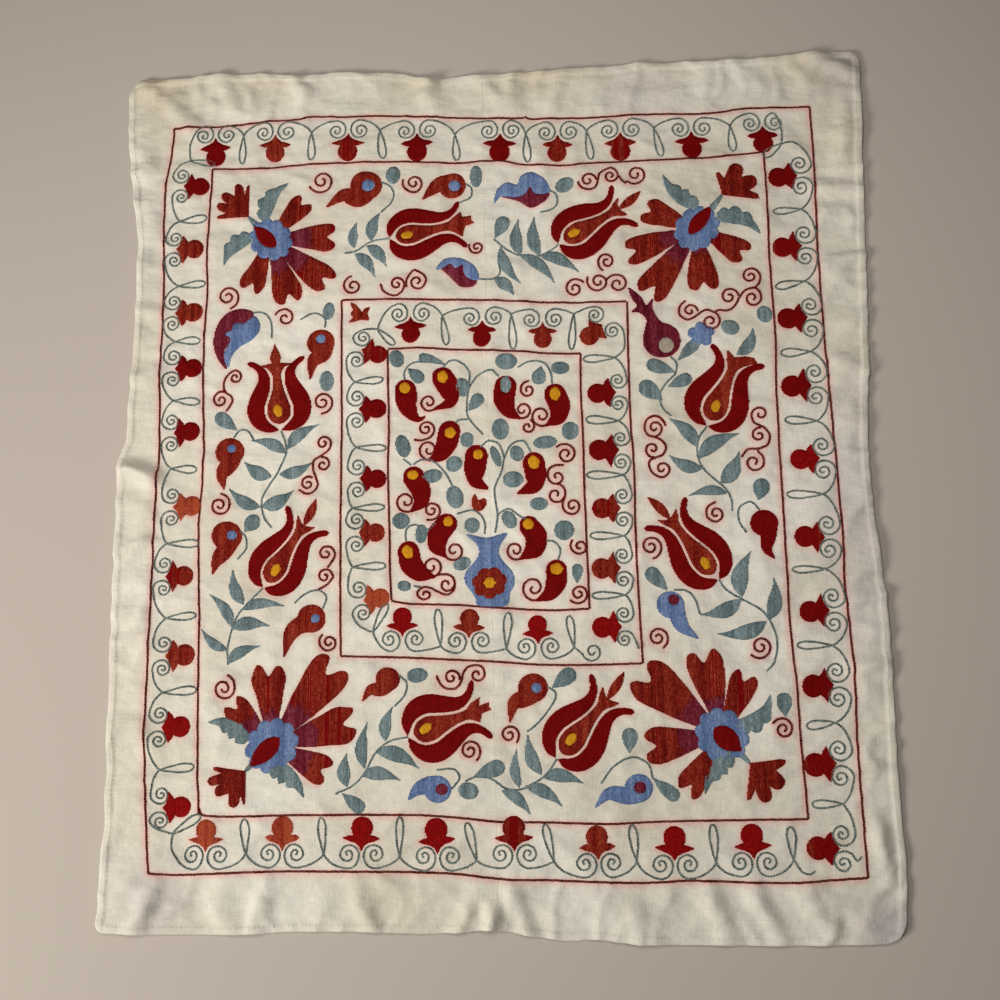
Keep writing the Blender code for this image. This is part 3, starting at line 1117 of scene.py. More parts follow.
# Scrolls of joined curls: curl at the start or None, points between, curl at the end or None.
SCROLLS = (
    (None, ((107, 366), (111, 359), (120, 355), (129, 358), (132.5, 367), (135, 376), (147, 383)),
     (148, 372, 9.8, 80, -540)),
    (None, ((158.5, 373), (161, 366), (167, 361)), (179, 373, 13, 215, 560)),
    (None, ((234, 208), (226, 200), (226, 189), (234, 183), (243, 186), (249, 190.5), (257.5, 194.5)),
     (262, 180, 11.5, 70, -550)),
    (None, ((268, 192), (273, 194.5), (283, 193.5), (292.5, 199.5), (298, 209.5), (305, 217.5)),
     (313.5, 208, 11.5, 80, -520)),
    (None, ((316.5, 220.5), (322, 226)), (312.5, 236, 11, -20, 560)),
    (None, ((-138, 240), (-134, 230.5), (-121, 224), (-112, 229)), (-118, 239, 8.5, -10, 480)),
    (None, ((-106, 234), (-106, 243), (-101.5, 252), (-96, 256.5), (-87, 252)),
     (-93, 241.5, 10.5, 25, -480)),
    (None,
     ((-326.5, 83), (-321, 91), (-318, 97.5), (-321, 103), (-327.5, 108), (-330, 117), (-328, 125),
      (-323, 131.7)), (-316, 126, 8.3, 90, -480)),
    ((-206, 41, 9.5, -55, 520),
     ((-209.7, 25), (-217, 19.5), (-217.5, 9), (-214, -1), (-212, -9), (-216, -16.5), (-224.5, -20.5),
      (-235, -15)), None),
    (None,
     ((204, 52), (198, 61), (190, 64.7), (181, 60), (178, 50), (181.7, 42), (189, 39.5), (198, 34.5),
      (202.4, 25.4), (198, 17.2), (190, 14.4), (183.4, 11.4), (181.7, 5.6), (186, -4.3)),
     (197, 1, 9.5, -100, 470)),
    ((315, 64, 9.5, 200, -440),
     ((307.6, 53.3), (317.8, 47.7), (324.3, 38.5), (321.5, 27.4), (312.2, 22.7), (298.4, 21.8),
      (290, 12.6)), None),
    (None, ((310, 22.5),), (304, 6, 12.5, 65, -500)),
    (None, ((-199.5, -109.4), (-192.3, -100)), (-201, -92, 9.8, -20, 500)),
    (None, ((-210.5, -134.5), (-200, -129)), (-202, -119, 9, -10, 480)),
    (None,
     ((-71, -235), (-66, -245.5), (-59.4, -250.3), (-49.5, -250.5), (-43, -244.4), (-39.6, -232.3),
      (-32.5, -225.5)), (-24, -235, 9.5, 75, -470)),
    (None, ((-96.8, 42.7), (-89, 41.4)), (-82.3, 55.5, 10.4, 290, 580)),
    (None, ((82, 8), (70.3, 7.3), (63.6, 3.1)), (73, -6, 10, 165, 440)),
    (None, ((72, -14.5), (77, -15.8)), (71, -27.6, 11.2, 40, -460)),
    (None, ((82, -31),), (90.4, -41.4, 11.2, 150, 560)),
    (None, ((-70, -120.5), (-65, -119)), (-58.5, -131, 11.2, 110, -490)),
    (None, ((-48.5, -128), (-50, -138), (-58, -143), (-67.5, -140), (-76, -135.5)),
     (-83.4, -142.3, 10.4, 80, 500, 0.76)),
)

# Tulips: base x, y, heading, length, width, crown, eye.
TULIPS = (
    (-127, 299, 10, 0.97, 1.0, "short", (22, 0)),
    (82, 285, 30, 1.0, 1.0, "leaf", (23, 2)),
    (-258.5, 58.5, 95, 0.93, 1.12, "bud", (24, 1)),
    (-275, -131, 57, 1.0, 1.0, "leaf", (25, -1)),
    (252, 51, 64.5, 1.0, 1.12, "none", (27, 0)),
    (256, -131, 126, 1.03, 1.0, "leaf", (24, 0)),
    (-103.5, -304, 19.5, 0.95, 1.1, "stub", (22, 2)),
    (65.5, -330, 48, 1.02, 1.05, "leaf", (27, 2)),
)

# Buds: spine from the head, radius, notched side, kind, eye x, y and radius, kind of the eye.
BUDS = (
    (((-157, 370), (-168, 358), (-186, 360), (-206, 343)), 20, -1, "rust", (-154, 370, 8.5)),
    (((-49, 366), (-62, 365), (-74, 359), (-86, 350)), 17, 1, "rust", (-46, 366, 7.5)),
    (((-211, 167), (-212, 155), (-222, 143), (-223, 121)), 17, -1, "rust", (-211, 172, 6)),
    (((-319, 33), (-322, 20), (-330, 5), (-325, -13)), 17.5, -1, "rust", (-317, 37, 5.5)),
    (((-320, -69), (-326, -84), (-333, -98), (-336, -114)), 18, -1, "rust", (-314, -68, 6)),
    (((-217, -168), (-232, -172), (-243, -185), (-249, -212)), 17, -1, "rust", (-212, -168, 5.5)),
    (((40, -251), (28, -259), (16, -268), (13, -289)), 17, -1, "rust", (44, -251, 6)),
    (((-127, -239), (-136, -247), (-148, -250), (-156, -263)), 14, -1, "rust"),
    (((312, -66), (312, -82), (312, -97), (322, -108)), 16, -1, "red"),
    (((200, -159), (204, -173), (212, -186), (230, -198)), 16, -1, "blue", (204, -153, 6.5), "plum"),
    (((-70, -362), (-80, -361), (-92, -364), (-103, -373)), 15.5, 1, "blue", (-65, -362, 7), "plum"),
    (((156, -363), (143, -367), (122, -367), (107, -383)), 16, -1, "blue", (158, -362, 7), "plum"),
)

# Peppers: spine, half widths along it, eye, and the middle and sweep of the curled tail.
PEPPERS = (
    (((-107, 104), (-105, 86), (-99, 74), (-91, 68), (-83, 71)), (13, 13, 9.5, 4.5, 1.0),
     (-108, 107, 6.5, 6.5, 0)),
    (((-62, 119), (-54, 104), (-54, 88), (-72, 80)), (13, 13.5, 10, 5, 1.4), (-62, 120, 6, 7.5, 0),
     ((-79, 88.5), -500)),
    (((-54, 52), (-58, 36), (-67, 23), (-78, 17.5)), (13, 13, 10, 1.6), (-53, 50, 6.5, 6.5, 0),
     ((-79, 30), -500)),
    (((-22, 21), (-24, 4), (-22, -10), (-8, -19)), (13.5, 13, 8, 1.2), (-20, 23, 6, 6, 0)),
    (((-97, -3), (-89, -18), (-89, -32), (-99, -43)), (13, 12, 9.5, 1.8), (-98, 0, 6.5, 5.5, 0),
     ((-106, -32), -500)),
    (((-58, -60), (-68, -73), (-68, -87), (-60, -98)), (12.5, 13, 11, 1.6), (-56, -57, 5.5, 6, 0),
     ((-49.5, -91.5), 480)),
    (((-103, -92), (-100, -106), (-89, -117), (-73, -122)), (12.5, 13, 10, 1.6), (-104, -92, 6, 8, 20),
     ((-76, -110), 480)),
    (((14, 106), (12, 90), (18, 75), (30, 66)), (13, 13, 9, 1.6), (14, 108, 6.5, 10, 0),
     ((34, 76), 480), "teal"),
    (((73, 94), (78, 80), (75, 66), (63, 57)), (13, 13, 10, 1.6), (73, 95, 6, 8, 0), ((56, 68), -500)),
    (((46, 11), (48, -5), (44, -17), (26, -25)), (13, 12.5, 8, 0.8), (46, 12, 6.5, 8, 20)),
    (((39, -64), (47, -77), (44, -91), (29, -102)), (11.5, 13, 11, 1.6), (38, -62, 6, 6.5, 30),
     ((22.5, -92.5), -500)),
    (((70, -117), (69, -131), (61, -144), (47, -151)), (12.5, 12, 8, 1.6), (70, -115, 7.5, 6.5, 0),
     ((43, -137), -520)),
)

# Leaves: stalk end x, y, tip x, y, width.
LEAVES = (
    (-150, 297, -139, 333, 15), (-171, 288, -168, 321, 12), (-155, 290, -131, 262, 15),
    (-170, 280, -145, 249, 15), (35, 272, 33, 319, 16), (58, 271, 53, 322, 16),
    (10, 283, 35, 235, 14, -0.1), (34, 272, 76, 234, 15, 0.1), (58, 271, 106, 247, 15, 0.1),
    (2, 242, 26, 220, 16), (-250, 35, -212, 64, 15), (-252, 30, -293, 46, 14, -0.1),
    (-258, 4, -218, 18, 14, -0.1), (-268, 2, -301, 20, 17, 0.1), (-279, -34, -241, -16, 18, -0.1),
    (-281, -35, -320, -11, 15, 0.1), (-297, -150, -312, -108, 14, 0.1), (-299, -156, -249, -153, 12),
    (-311, -176, -338, -138, 13, -0.1), (-311, -178, -266, -176, 16), (-315, -203, -347, -178, 11, 0.1),
    (-315, -218, -277, -199, 13, 0.1), (239, 26, 207, 61, 16, -0.1), (240, 12, 289, 41, 18, 0.1),
    (244, 0, 205, 17, 15, 0.1), (264, -18, 288, 20, 19, -0.1), (271, -30, 227, -32, 12, -0.1),
    (291, 137, 312, 171, 15, -0.15), (282, -151, 295, -99, 20, 0.12), (281, -154, 233, -171, 17, 0.1),
    (310, -178, 319, -130, 17, -0.1), (308, -180, 252, -193, 17, 0.1),
    (-129, -308, -121, -270, 14, 0.1), (-153, -338, -150, -287, 14), (-140, -320, -91, -339, 17, 0.1),
    (-156, -346, -112, -352, 15, 0.1), (-173, -358, -173, -321, 15), (48, -347, 33, -302, 15, 0.1),
    (49, -350, 95, -357, 15, 0.1), (23, -361, 21, -317, 11), (29, -360, 71, -382, 14, 0.1),
    (3, -364, 35, -391, 13, 0.1),
)

# Drop-shaped leaves: point x, y, round end x, y, width.
DROPS = (
    (147, -324, 149, -297, 17), (57, 129, 52, 107, 17), (93.5, -132, 94.4, -110, 12.5),
    (-299, -64, -283, -46, 18), (323, -286, 322, -260, 17), (307, -39, 314, -14, 19),
    (3, 295, 18, 322, 17), (221, 133, 245, 155, 14), (217, 118, 184, 130, 17), (208, 100, 236, 112, 15),
    (200, 84, 175, 106, 20), (62, -251, 88, -232, 18), (197, -142, 175, -117, 17),
    (-312, 60, -338, 80, 17), (-29, -349, 6, -336, 18), (-178, -366, -154, -385, 15),
    (173, -353, 200, -375, 15), (-104, 131, -86, 115, 15), (-62, 139, -91, 146, 11),
    (-31, 77, -15, 96, 15),
)

# Rounded leaves: x, y, half width, half length, heading.
ROUND_LEAVES = (
    (-123, 383, 9, 11.5, 0), (-19, 377, 7.5, 13.5, 0), (91, 362, 12, 9, 30), (-202, 207, 7, 11, -8),
    (-203, 118, 8.5, 12.5, 0), (327, 187, 9, 10.5, 20), (285, 172, 11, 9, -20), (-93, -235, 12, 8, 5),
    (-35, -364, 11.5, 9, -10), (-118, 144, 9, 11, 20), (-38, 106, 8, 11.5, 10), (-110, 35, 8.5, 14, 15),
    (-33, 41, 8, 9, 0), (-49, 12, 10, 9, 30), (7, 53, 10, 13, 0), (1, 20, 5, 13, 20),
    (15, 137, 13, 10, 0), (80, 127, 11, 8, 0), (26, 23, 8, 9.5, 30), (60, 36, 14, 7.5, 5),
    (90, 49, 10, 10.5, 0), (-75, -2, 12, 8, 10), (-48, -28, 10, 13.5, 15), (-112, -55, 10, 9.5, 0),
    (-88, -71, 7, 11, -5), (-28, -62, 9, 9, 20), (16, -56, 8, 11, 30), (21, -8, 12, 9.5, 0),
    (51, -38, 10.5, 7.5, 0), (80, -70, 11.5, 11.5, 0), (-108, -132, 8, 6, -10),
    (-40, -107, 10.5, 7.5, 20),
)

# Stems, each from end to end.
STEMS = (
    ((-127, 299), (-145, 297), (-155, 293), (-168, 284), (-183, 281)),
    ((-138, 374), (-128, 369), (-122, 358), (-126, 345), (-138, 333)),
    ((-32, 369), (-25, 362), (-26, 350), (-40, 343)),
    ((72, 356), (80, 350), (81, 338), (73, 330), (60, 327)),
    ((82, 285), (72, 277), (55, 270), (35, 271), (16, 281), (2, 294)),
    ((-17, 242), (0, 242), (9, 250), (7, 265)),
    ((-206, 185), (-207, 198), (-220, 205), (-237, 197)),
    ((-203, 118), (-204, 106)),
    ((-297, 208), (-284, 208), (-275, 199), (-272, 186), (-272, 174)),
    ((-258, 58), (-252, 42), (-251, 28), (-258, 10), (-270, -8), (-279, -26), (-277, -45), (-267, -60)),
    ((-290, 46), (-297, 57), (-307, 60), (-315, 50)),
    ((-307, -62), (-298, -70), (-297, -85), (-307, -97)),
    ((-275, -131), (-292, -149), (-304, -162), (-311, -180), (-315, -202), (-314, -220)),
    ((-238, -150), (-225, -139), (-210, -135), (-200, -143), (-204, -157)),
    ((252, 51), (241, 36), (239, 15), (245, 0), (257, -13), (269, -24), (276, -38), (276, -51)),
    ((308, -51), (298, -41), (285, -47), (283, -62), (291, -77)),
    ((212, 138), (219, 128), (217, 116), (207, 106), (198, 92), (200, 75), (210, 64)),
    ((232, 148), (222, 133)),
    ((256, -131), (265, -143), (282, -154), (302, -166), (313, -181), (319, -202), (315, -225),
     (305, -236)),
    ((204, -142), (219, -143), (228, -153), (233, -170)),
    ((-103, -304), (-125, -309), (-141, -322), (-152, -342), (-166, -357), (-186, -366)),
    ((-115, -234), (-105, -244), (-108, -258), (-119, -270)),
    ((-54, -362), (-45, -350), (-52, -340), (-71, -341)),
    ((-39, -354), (-24, -348), (-8, -352), (8, -362), (24, -363), (42, -355), (55, -345), (65.5, -330)),
    ((32, -300), (45, -290), (60, -272), (66, -258), (57, -250)),
    ((114, -358), (129, -339), (150, -329), (168, -337), (172, -352), (176, -354)),
    ((-108, 117), (-108, 128), (-99, 138), (-80, 139), (-60, 136)),
    ((-62, 132), (-53, 140), (-41, 138), (-30, 125), (-31, 104), (-33, 84), (-31, 68), (-14, 47)),
    ((-47, 62), (-42, 66), (-32, 66)),
    ((6, 118), (-4, 127), (-20, 120), (-31, 104)),
    ((28, 129), (44, 136), (60, 134), (68, 122), (70, 107)),
    ((-1, -72), (2, -50), (-1, -20), (7, 0), (11, 18), (20, 34), (34, 38), (43, 24)),
    ((11, 18), (5, 34), (-7, 39), (-17, 32)),
    ((-13, -73), (-14, -56), (-26, -44), (-46, -48)),
    ((-98, 12), (-88, 18), (-74, 16), (-60, 2), (-50, -16)),
    ((2, -50), (15, -43), (28, -52), (36, -56)),
    ((56, 38), (62, 30)),
    ((-106, -80), (-106, -66), (-96, -60), (-80, -66), (-70, -58)),
    ((57, -82), (68, -83), (75, -93), (72, -105)),
    ((-110, 20), (-100, 12)),
    ((-98, -132), (-88, -134)),
)

# Rosettes: centre, petals (heading, reach, half width, plum reach), eye, calyx, leaves, fan.
ROSETTES = (
    (
        -276, 302,
        ((50, 67, 15, 0), (1, 81, 18, 52), (-39, 96, 18.5, 54), (-72, 86, 18, 44), (-111, 70, 15.5, 0)),
        (-283, 306, 20, 9.5, 134), (27, 24, 135),
        ((-283, 327, -255, 378, 0.12, 1), (-300, 306, -334, 270, -0.12, -1)),
        (-305, 333, ((90, 39), (109, 43), (136, 43), (157, 40), (180, 37))),
    ),
    (
        251, 299,
        ((156, 69, 16.5, 0), (199, 91, 17.5, 44), (233, 105, 20, 50), (274, 79, 18.5, 30), (329, 68, 16, 0)),
        (256, 310, 22.5, 9.3, 50), (28, 24, 48),
        ((252, 326, 212, 371, 0.1, -1), (276, 312, 328, 290, 0.14, 1)),
        (284, 342, ((-8, 42), (24, 43), (60, 42), (100, 28))),
    ),
    (
        -260, -312,
        ((135, 69, 15, 42), (94, 90, 19.5, 40), (51.5, 117, 24.5, 54), (15, 98, 21, 54), (-26, 72, 17, 48)),
        (-268, -319, 23.5, 10.7, 224), (30, 27, 225),
        ((-288, -306, -335, -285, -0.14, 1), (-262, -334, -222, -370, 0.12, -1)),
        (-290, -340, ((173, 35), (196, 41), (217, 39), (250, 39), (271, 34))),
    ),
    (
        252, -306,
        ((235, 76, 15.5, 0), (188, 87, 20, 48), (142, 113, 25, 52), (101, 95, 20.5, 42), (65, 74, 16, 0)),
        (258, -311, 19.8, 12.5, 319), (29, 27, 315),
        ((268, -296, 308, -262, -0.15, -1), (262, -326, 230, -370, -0.12, 1)),
        (281, -337, ((-97, 37), (-67, 42), (-35, 40), (4.5, 37))),
    ),
)

POMEGRANATE = (
    (225, 155), (223, 168), (214, 176), (203, 181), (196, 190), (193, 200), (194, 211), (186, 203),
    (181, 212), (174, 219), (165, 225), (169, 211), (175, 202), (168, 195), (178, 193), (185, 184),
    (183, 172), (180, 158), (184, 146), (195, 138), (211, 138), (221, 145),
)
CAP_TOP = (
    (3, 341), (7, 358), (19, 368), (32, 365), (37, 376), (49, 381), (62, 374), (71, 363), (72, 353),
    (62, 351), (53, 353), (48, 361), (42, 352), (30, 348), (12, 350),
)
CAP_LOW = (
    (12, 350), (30, 348), (42, 352), (48, 361), (53, 353), (62, 351), (72, 353), (68, 343), (58, 336),
    (48, 334), (36, 341), (24, 346),
)
SHELL_BLUE = (
    (-70, 257), (-59, 270), (-42, 271), (-26, 263), (-18, 251), (-18, 240), (-28, 243), (-35, 251),
    (-36, 262), (-45, 258), (-52, 264), (-61, 259),
)
SHELL_PLUM = (
    (-64, 258), (-61, 259), (-52, 264), (-45, 258), (-36, 262), (-35, 251), (-28, 243), (-19, 240),
    (-24, 233), (-38, 233), (-48, 242), (-56, 251),
)
MOON_PLUM = (
    (-327, 137), (-338, 150), (-344, 170), (-340, 193), (-328, 208), (-312, 213), (-298, 210),
    (-296, 202), (-306, 195), (-319, 195), (-321, 187), (-330, 181), (-323, 176), (-326, 167),
    (-331, 158),
)
MOON_BLUE = (
    (-296, 204), (-288, 196), (-288, 183), (-297, 173), (-310, 166), (-320, 155), (-325, 139),
    (-331, 154), (-326, 167), (-323, 176), (-330, 181), (-321, 187), (-319, 195), (-306, 195),
)
VASE = (
    (-34, -73), (-10, -77), (13, -72), (6, -84), (3, -95), (8, -105), (18, -117), (21, -130),
    (15, -144), (10, -157), (-20, -157), (-26, -145), (-37, -128), (-35, -116), (-25, -105), (-20, -95),
    (-23, -84),
)
HEART = ((-27, -41), (-28, -31), (-24, -25), (-20, -32), (-13, -30), (-10, -36), (-15, -43), (-21, -45))
STAR = (
    (-175, 216), (-169, 214), (-164, 209), (-161, 205), (-157, 209), (-151, 210), (-154, 203),
    (-152, 194), (-161, 195), (-169, 193), (-177, 192), (-172, 198), (-175, 203), (-172, 208),
)


# Size of the fruits and of the curls on each side of the borders, by the fruits' heading.
OUTER_SIZES = {-90: (1.03, 1.0), 180: (1.05, 0.8), 90: (1.04, 0.93), 0: (1.1, 0.97)}
MEDALLION_SIZES = {-90: (0.94, 0.93), 180: (1.0, 0.82), 90: (0.94, 0.88), 0: (1.06, 0.76)}
# First crossing, drop end and path of the borders.
OUTER_LEAD = ((323, -440), (321, -406), ((346, -452), (340, -456), (331, -453)))
MEDALLION_LEAD = ((88, -205), (83, -170), spiral(109, -211, 11, -170, 540)[::-1])
# Plain shapes worked in one colour.
SHAPES = (
    (CAP_TOP, "blue"), (SHELL_BLUE, "blue"), (MOON_BLUE, "blue"), (CAP_LOW, "plum"),
    (SHELL_PLUM, "plum"), (MOON_PLUM, "plum"), (HEART, "rust"), (STAR, "rust"),
)


def each(work, rows):
    """Do one kind of work for every row of its table."""
    for row in rows:
        work(*row)


def scroll(first, between, last):
    """One line of curls joined by a run of points."""
    path = spiral(*first)[::-1] if first else []
    line("curl", path + list(between) + (spiral(*last) if last else []))


def shape(outline, kind):
    """One plain shape."""
    work = fill if kind == "blue" else red_work
    work(PICKS[kind], [smooth(outline, closed=True)])


def embroider():
    """Work the whole pattern."""
    for side in FRAME_LINES:
        line("frame", side)
    border(OUTER_BORDER, OUTER_SIZES, OUTER_LEAD, finish=(397, -437))
    border(MEDALLION_BORDER, MEDALLION_SIZES, MEDALLION_LEAD, finish=(162, -209))
    for row in CURLS:
        line("curl", spiral(*row))
    each(scroll, SCROLLS)
    each(tulip, TULIPS)
    each(bud, BUDS)
    each(pepper, PEPPERS)
    each(leaf, LEAVES)
    each(drop, DROPS)
    for row in ROUND_LEAVES:
        fill(PICKS["teal"], [oval(*row)])
    for row in STEMS:
        line("stem", row)
    each(rosette, ROSETTES)
    eye = oval(208, 152, 9, 9.5)
    red_work(heather("plum", 0.4), [smooth(POMEGRANATE, closed=True)], [eye])
    fill(PICKS["grey"], [eye])
    each(shape, SHAPES)
    fill(PICKS["blue"], [oval(250, 164, 13.5, 13, 20, 5, 0.2, 60)])
    flower = oval(-8, -130, 19, 17, 15, 7, 0.09, 84)
    centre = oval(-8, -130, 6.5, 6, 0, 6, 0.1, 48)
    fill(PICKS["blue"], [smooth(VASE, closed=True)], [flower])
    fill(PICKS["rust"], [flower], [centre])
    fill(PICKS["yellow"], [centre])


embroider()


# ---------------------------------------------------------------- hem and seam stitches
EDGING = Threads()
# Spacing of the hem stitches, how far from a corner they start, and their half width and height.
HEM_STITCH_STEP = 5.2
HEM_STITCH_START = 14
HEM_STITCH = (0.26, 0.2)
# The same for the stitches across the seam.
SEAM_STITCH_STEP = 4.1
SEAM_STITCH_START = -505.0
SEAM_STITCH = (0.3, 0.22)


def short_stitch(start, end, half, height, lift=0.0):
    """One short thread from start to end, rounded over the cloth."""
    start = np.array(start, float)
    along = np.array(end, float) - start
    ahead = along / (np.linalg.norm(along) + TINY)
    normal = np.array([-ahead[1], ahead[0]])
    rings = []
    for t, up in ((0.0, 0.25), (0.3, 1.0), (0.7, 1.0), (1.0, 0.25)):
        x, y = start + along * t
        z = float(top_at(x, y)) + lift
        for off, rise in ((-half, -0.1), (0, up * height), (half, -0.1)):
            rings.append((x + normal[0] * off, y + normal[1] * off, z + rise))
    caps = np.array([[0, 1, 2], [11, 10, 9]])
    EDGING.add(np.array(rings), tube(3, 4), np.full(12, RNG.random()), caps)


def outline_points(is_left):
    """Free edge of one panel as plan points, with the same edge a hem's width further in."""
    columns = np.array([0.0, HEM_WIDTH])
    along = np.arange(HEM_STITCH_START, PANEL_LENGTH - 13, HEM_STITCH_STEP)
    across = np.arange(HEM_STITCH_START, PANEL_WIDTH - 2, HEM_STITCH_STEP)
    if not is_left:
        columns = PANEL_WIDTH - columns
        across = PANEL_WIDTH - across
    x, y = panel_plan(is_left, columns, along)
    edge = [((x[k, 0], y[k, 0]), (x[k, 1], y[k, 1])) for k in range(len(along))]
    for rows in (np.array([0.0, HEM_WIDTH]), np.array([PANEL_LENGTH, PANEL_LENGTH - HEM_WIDTH])):
        x, y = panel_plan(is_left, across, rows)
        edge += [((x[0, k], y[0, k]), (x[1, k], y[1, k])) for k in range(len(across))]
    return edge


def sew():
    """Whip the hems down and join the panels."""
    for is_left in (True, False):
        for outer, inner in outline_points(is_left):
            outer = np.array(outer)
            inner = np.array(inner)
            inward = inner - outer
            slant = np.array([-inward[1], inward[0]]) * 0.12
            start = inner + inward * 0.10 + slant + RNG.uniform(-0.3, 0.3)
            finish = inner - inward * 0.26 - slant
            short_stitch(start, finish, *HEM_STITCH, HEM_THICK - CLOTH_THICK)
    y = SEAM_STITCH_START
    while y < -SEAM_STITCH_START:
        x = float(edge_at(SEAM_LINE, y))
        short_stitch((x - 1.5, y - 0.4), (x + 1.5, y + 0.6), *SEAM_STITCH)
        y += SEAM_STITCH_STEP + RNG.uniform(-0.4, 0.4)


sew()


# ---------------------------------------------------------------- dye bleed and stains
def field_cell(place, places):
    """Index of a plan position, or of many, on the field grid."""
    return ((place - places[0]) / FIELD_STEP).astype(int)


def bleed_field():
    """Where red thread lies, a little blurred, for the faint pink in the ground."""
    mask = np.zeros(FIELD.shape)
    for outline in RED_MARKS:
        for x in np.arange(outline[:, 0].min(), outline[:, 0].max(), FIELD_STEP):
            for low, high in row_spans(outline, x):
                first, last = field_cell(np.array([low, high]), FIELD_Y)
                mask[first:last + 1, field_cell(x, FIELD_X)] = 1.0
    for key in ("frame", "curl"):
        points = np.concatenate(CHAINS[key].points)
        mask[field_cell(points[:, 1], FIELD_Y), field_cell(points[:, 0], FIELD_X)] = 1.0
    for _ in range(2):
        mask = soften(mask)
    return mask


BLEED = bleed_field()


# ---------------------------------------------------------------- materials
def new_material(name, roughness, specular):
    """A principled material, with its node tree and shader."""
    material = bpy.data.materials.new(name)
    material.use_nodes = True
    shader = material.node_tree.nodes["Principled BSDF"]
    shader.inputs["Roughness"].default_value = roughness
    shader.inputs["Specular IOR Level"].default_value = specular
    return material, material.node_tree, shader


def place_noise(tree, scale, detail=3.0, roughness=0.55, stretch=(1, 1, 1), offset=(0, 0, 0)):
    """Noise in object space, scale in cells a metre."""
    coords = tree.nodes.new("ShaderNodeTexCoord")
    mapping = tree.nodes.new("ShaderNodeMapping")
    mapping.inputs["Scale"].default_value = stretch
    mapping.inputs["Location"].default_value = offset
    noise = tree.nodes.new("ShaderNodeTexNoise")
    noise.inputs["Scale"].default_value = scale
    noise.inputs["Detail"].default_value = detail
    noise.inputs["Roughness"].default_value = roughness
    tree.links.new(coords.outputs["Object"], mapping.inputs["Vector"])
    tree.links.new(mapping.outputs["Vector"], noise.inputs["Vector"])
    return noise.outputs["Fac"]


def ramp(tree, value, stops):
    """Colour ramp over a value, from (place, colour) stops."""
    node = tree.nodes.new("ShaderNodeValToRGB")
    elements = node.color_ramp.elements
    while len(elements) < len(stops):
        elements.new(0.5)
    for element, (place, colour) in zip(elements, stops):
        element.position = place
        element.color = (*colour, 1.0)
    tree.links.new(value, node.inputs["Fac"])
    return node.outputs["Color"]


def feed(tree, value, socket):
    """Link an output to a socket, or set the socket to a constant."""
    if isinstance(value, tuple):
        socket.default_value = (*value, 1.0)
    elif isinstance(value, (int, float)):
        socket.default_value = value
    else:
        tree.links.new(value, socket)


def mix(tree, first, second, factor, mode="MIX"):
    """Mix or blend of two colours."""
    node = tree.nodes.new("ShaderNodeMix")
    node.data_type = "RGBA"
    node.blend_type = mode
    # Sockets 6 and 7 are the colours of a mix node, socket 0 its factor.
    feed(tree, first, node.inputs[6])
    feed(tree, second, node.inputs[7])
    feed(tree, factor, node.inputs[0])
    return node.outputs[2]


def math_node(tree, operation, first, second=0.0, clamp=False):
    """One sum or product of two values."""
    node = tree.nodes.new("ShaderNodeMath")
    node.operation = operation
    node.use_clamp = clamp
    feed(tree, first, node.inputs[0])
    feed(tree, second, node.inputs[1])
    return node.outputs[0]


def attribute(tree, name):
    """Value of one of the mesh's attributes."""
    node = tree.nodes.new("ShaderNodeAttribute")
    node.attribute_name = name
    return node.outputs["Fac"]


def bump(tree, shader, layers):
    """Stack bumps, each a height, a distance in metres and a strength."""
    normal = None
    for height, distance, strength in layers:
        node = tree.nodes.new("ShaderNodeBump")
        node.inputs["Distance"].default_value = distance
        node.inputs["Strength"].default_value = strength
        tree.links.new(height, node.inputs["Height"])
        if normal is not None:
            tree.links.new(normal, node.inputs["Normal"])
        normal = node.outputs["Normal"]
    tree.links.new(normal, shader.inputs["Normal"])


def srgb(text):
    """Linear colour of a hex triple."""
    out = []
    for k in (0, 2, 4):
        c = int(text[k:k + 2], 16) / 255
        out.append(c / 12.92 if c <= 0.04045 else ((c + 0.055) / 1.055) ** 2.4)
    return tuple(out)


def cotton_material():
    """Ecru plain weave, with the pink, the stains, grey-lilac patches that are partly stain and partly
    painted shade, and the fine crumple of the laid cloth.
    """
    material, tree, shader = new_material("ecru_cotton", 0.92, 0.1)
    blotch = place_noise(tree, 4.5, 4.0, 0.6)
    colour = ramp(tree, blotch, ((0.3, srgb("d0c7b3")), (0.5, srgb("dad3c3")), (0.72, srgb("e5dfd2"))))
    colour = mix(tree, colour, srgb("c4ad7c"), attribute(tree, "stain"))
    # Grey-lilac patches: partly stain, partly painted shade of the darker right side and the creases.
    colour = mix(tree, colour, srgb("aca2a8"), attribute(tree, "lilac_stain_and_shade"))
    colour = mix(tree, colour, srgb("e2a096"), attribute(tree, "bleed"))
    weave_x = place_noise(tree, 90, 2.0, 0.5, (1, 9, 1))
    weave_y = place_noise(tree, 90, 2.0, 0.5, (9, 1, 1), (3, 1, 0))
    slub = math_node(tree, "ADD", weave_x, weave_y)
    shade = ramp(tree, math_node(tree, "MULTIPLY", slub, 0.5),
                 ((0.3, (0.86, 0.86, 0.86)), (0.7, (1.06, 1.06, 1.06))))
    colour = mix(tree, colour, shade, 1.0, "MULTIPLY")
    tree.links.new(colour, shader.inputs["Base Color"])
    crumple = place_noise(tree, 24, 2.5, 0.5, (0.75, 1.35, 1))
    fine = place_noise(tree, 95, 3.0, 0.6, (1, 1.2, 1), (5, 2, 0))
    bump(tree, shader, ((crumple, 0.012, 0.5), (fine, 0.003, 0.22), (slub, 0.0006, 0.3)))
    return material


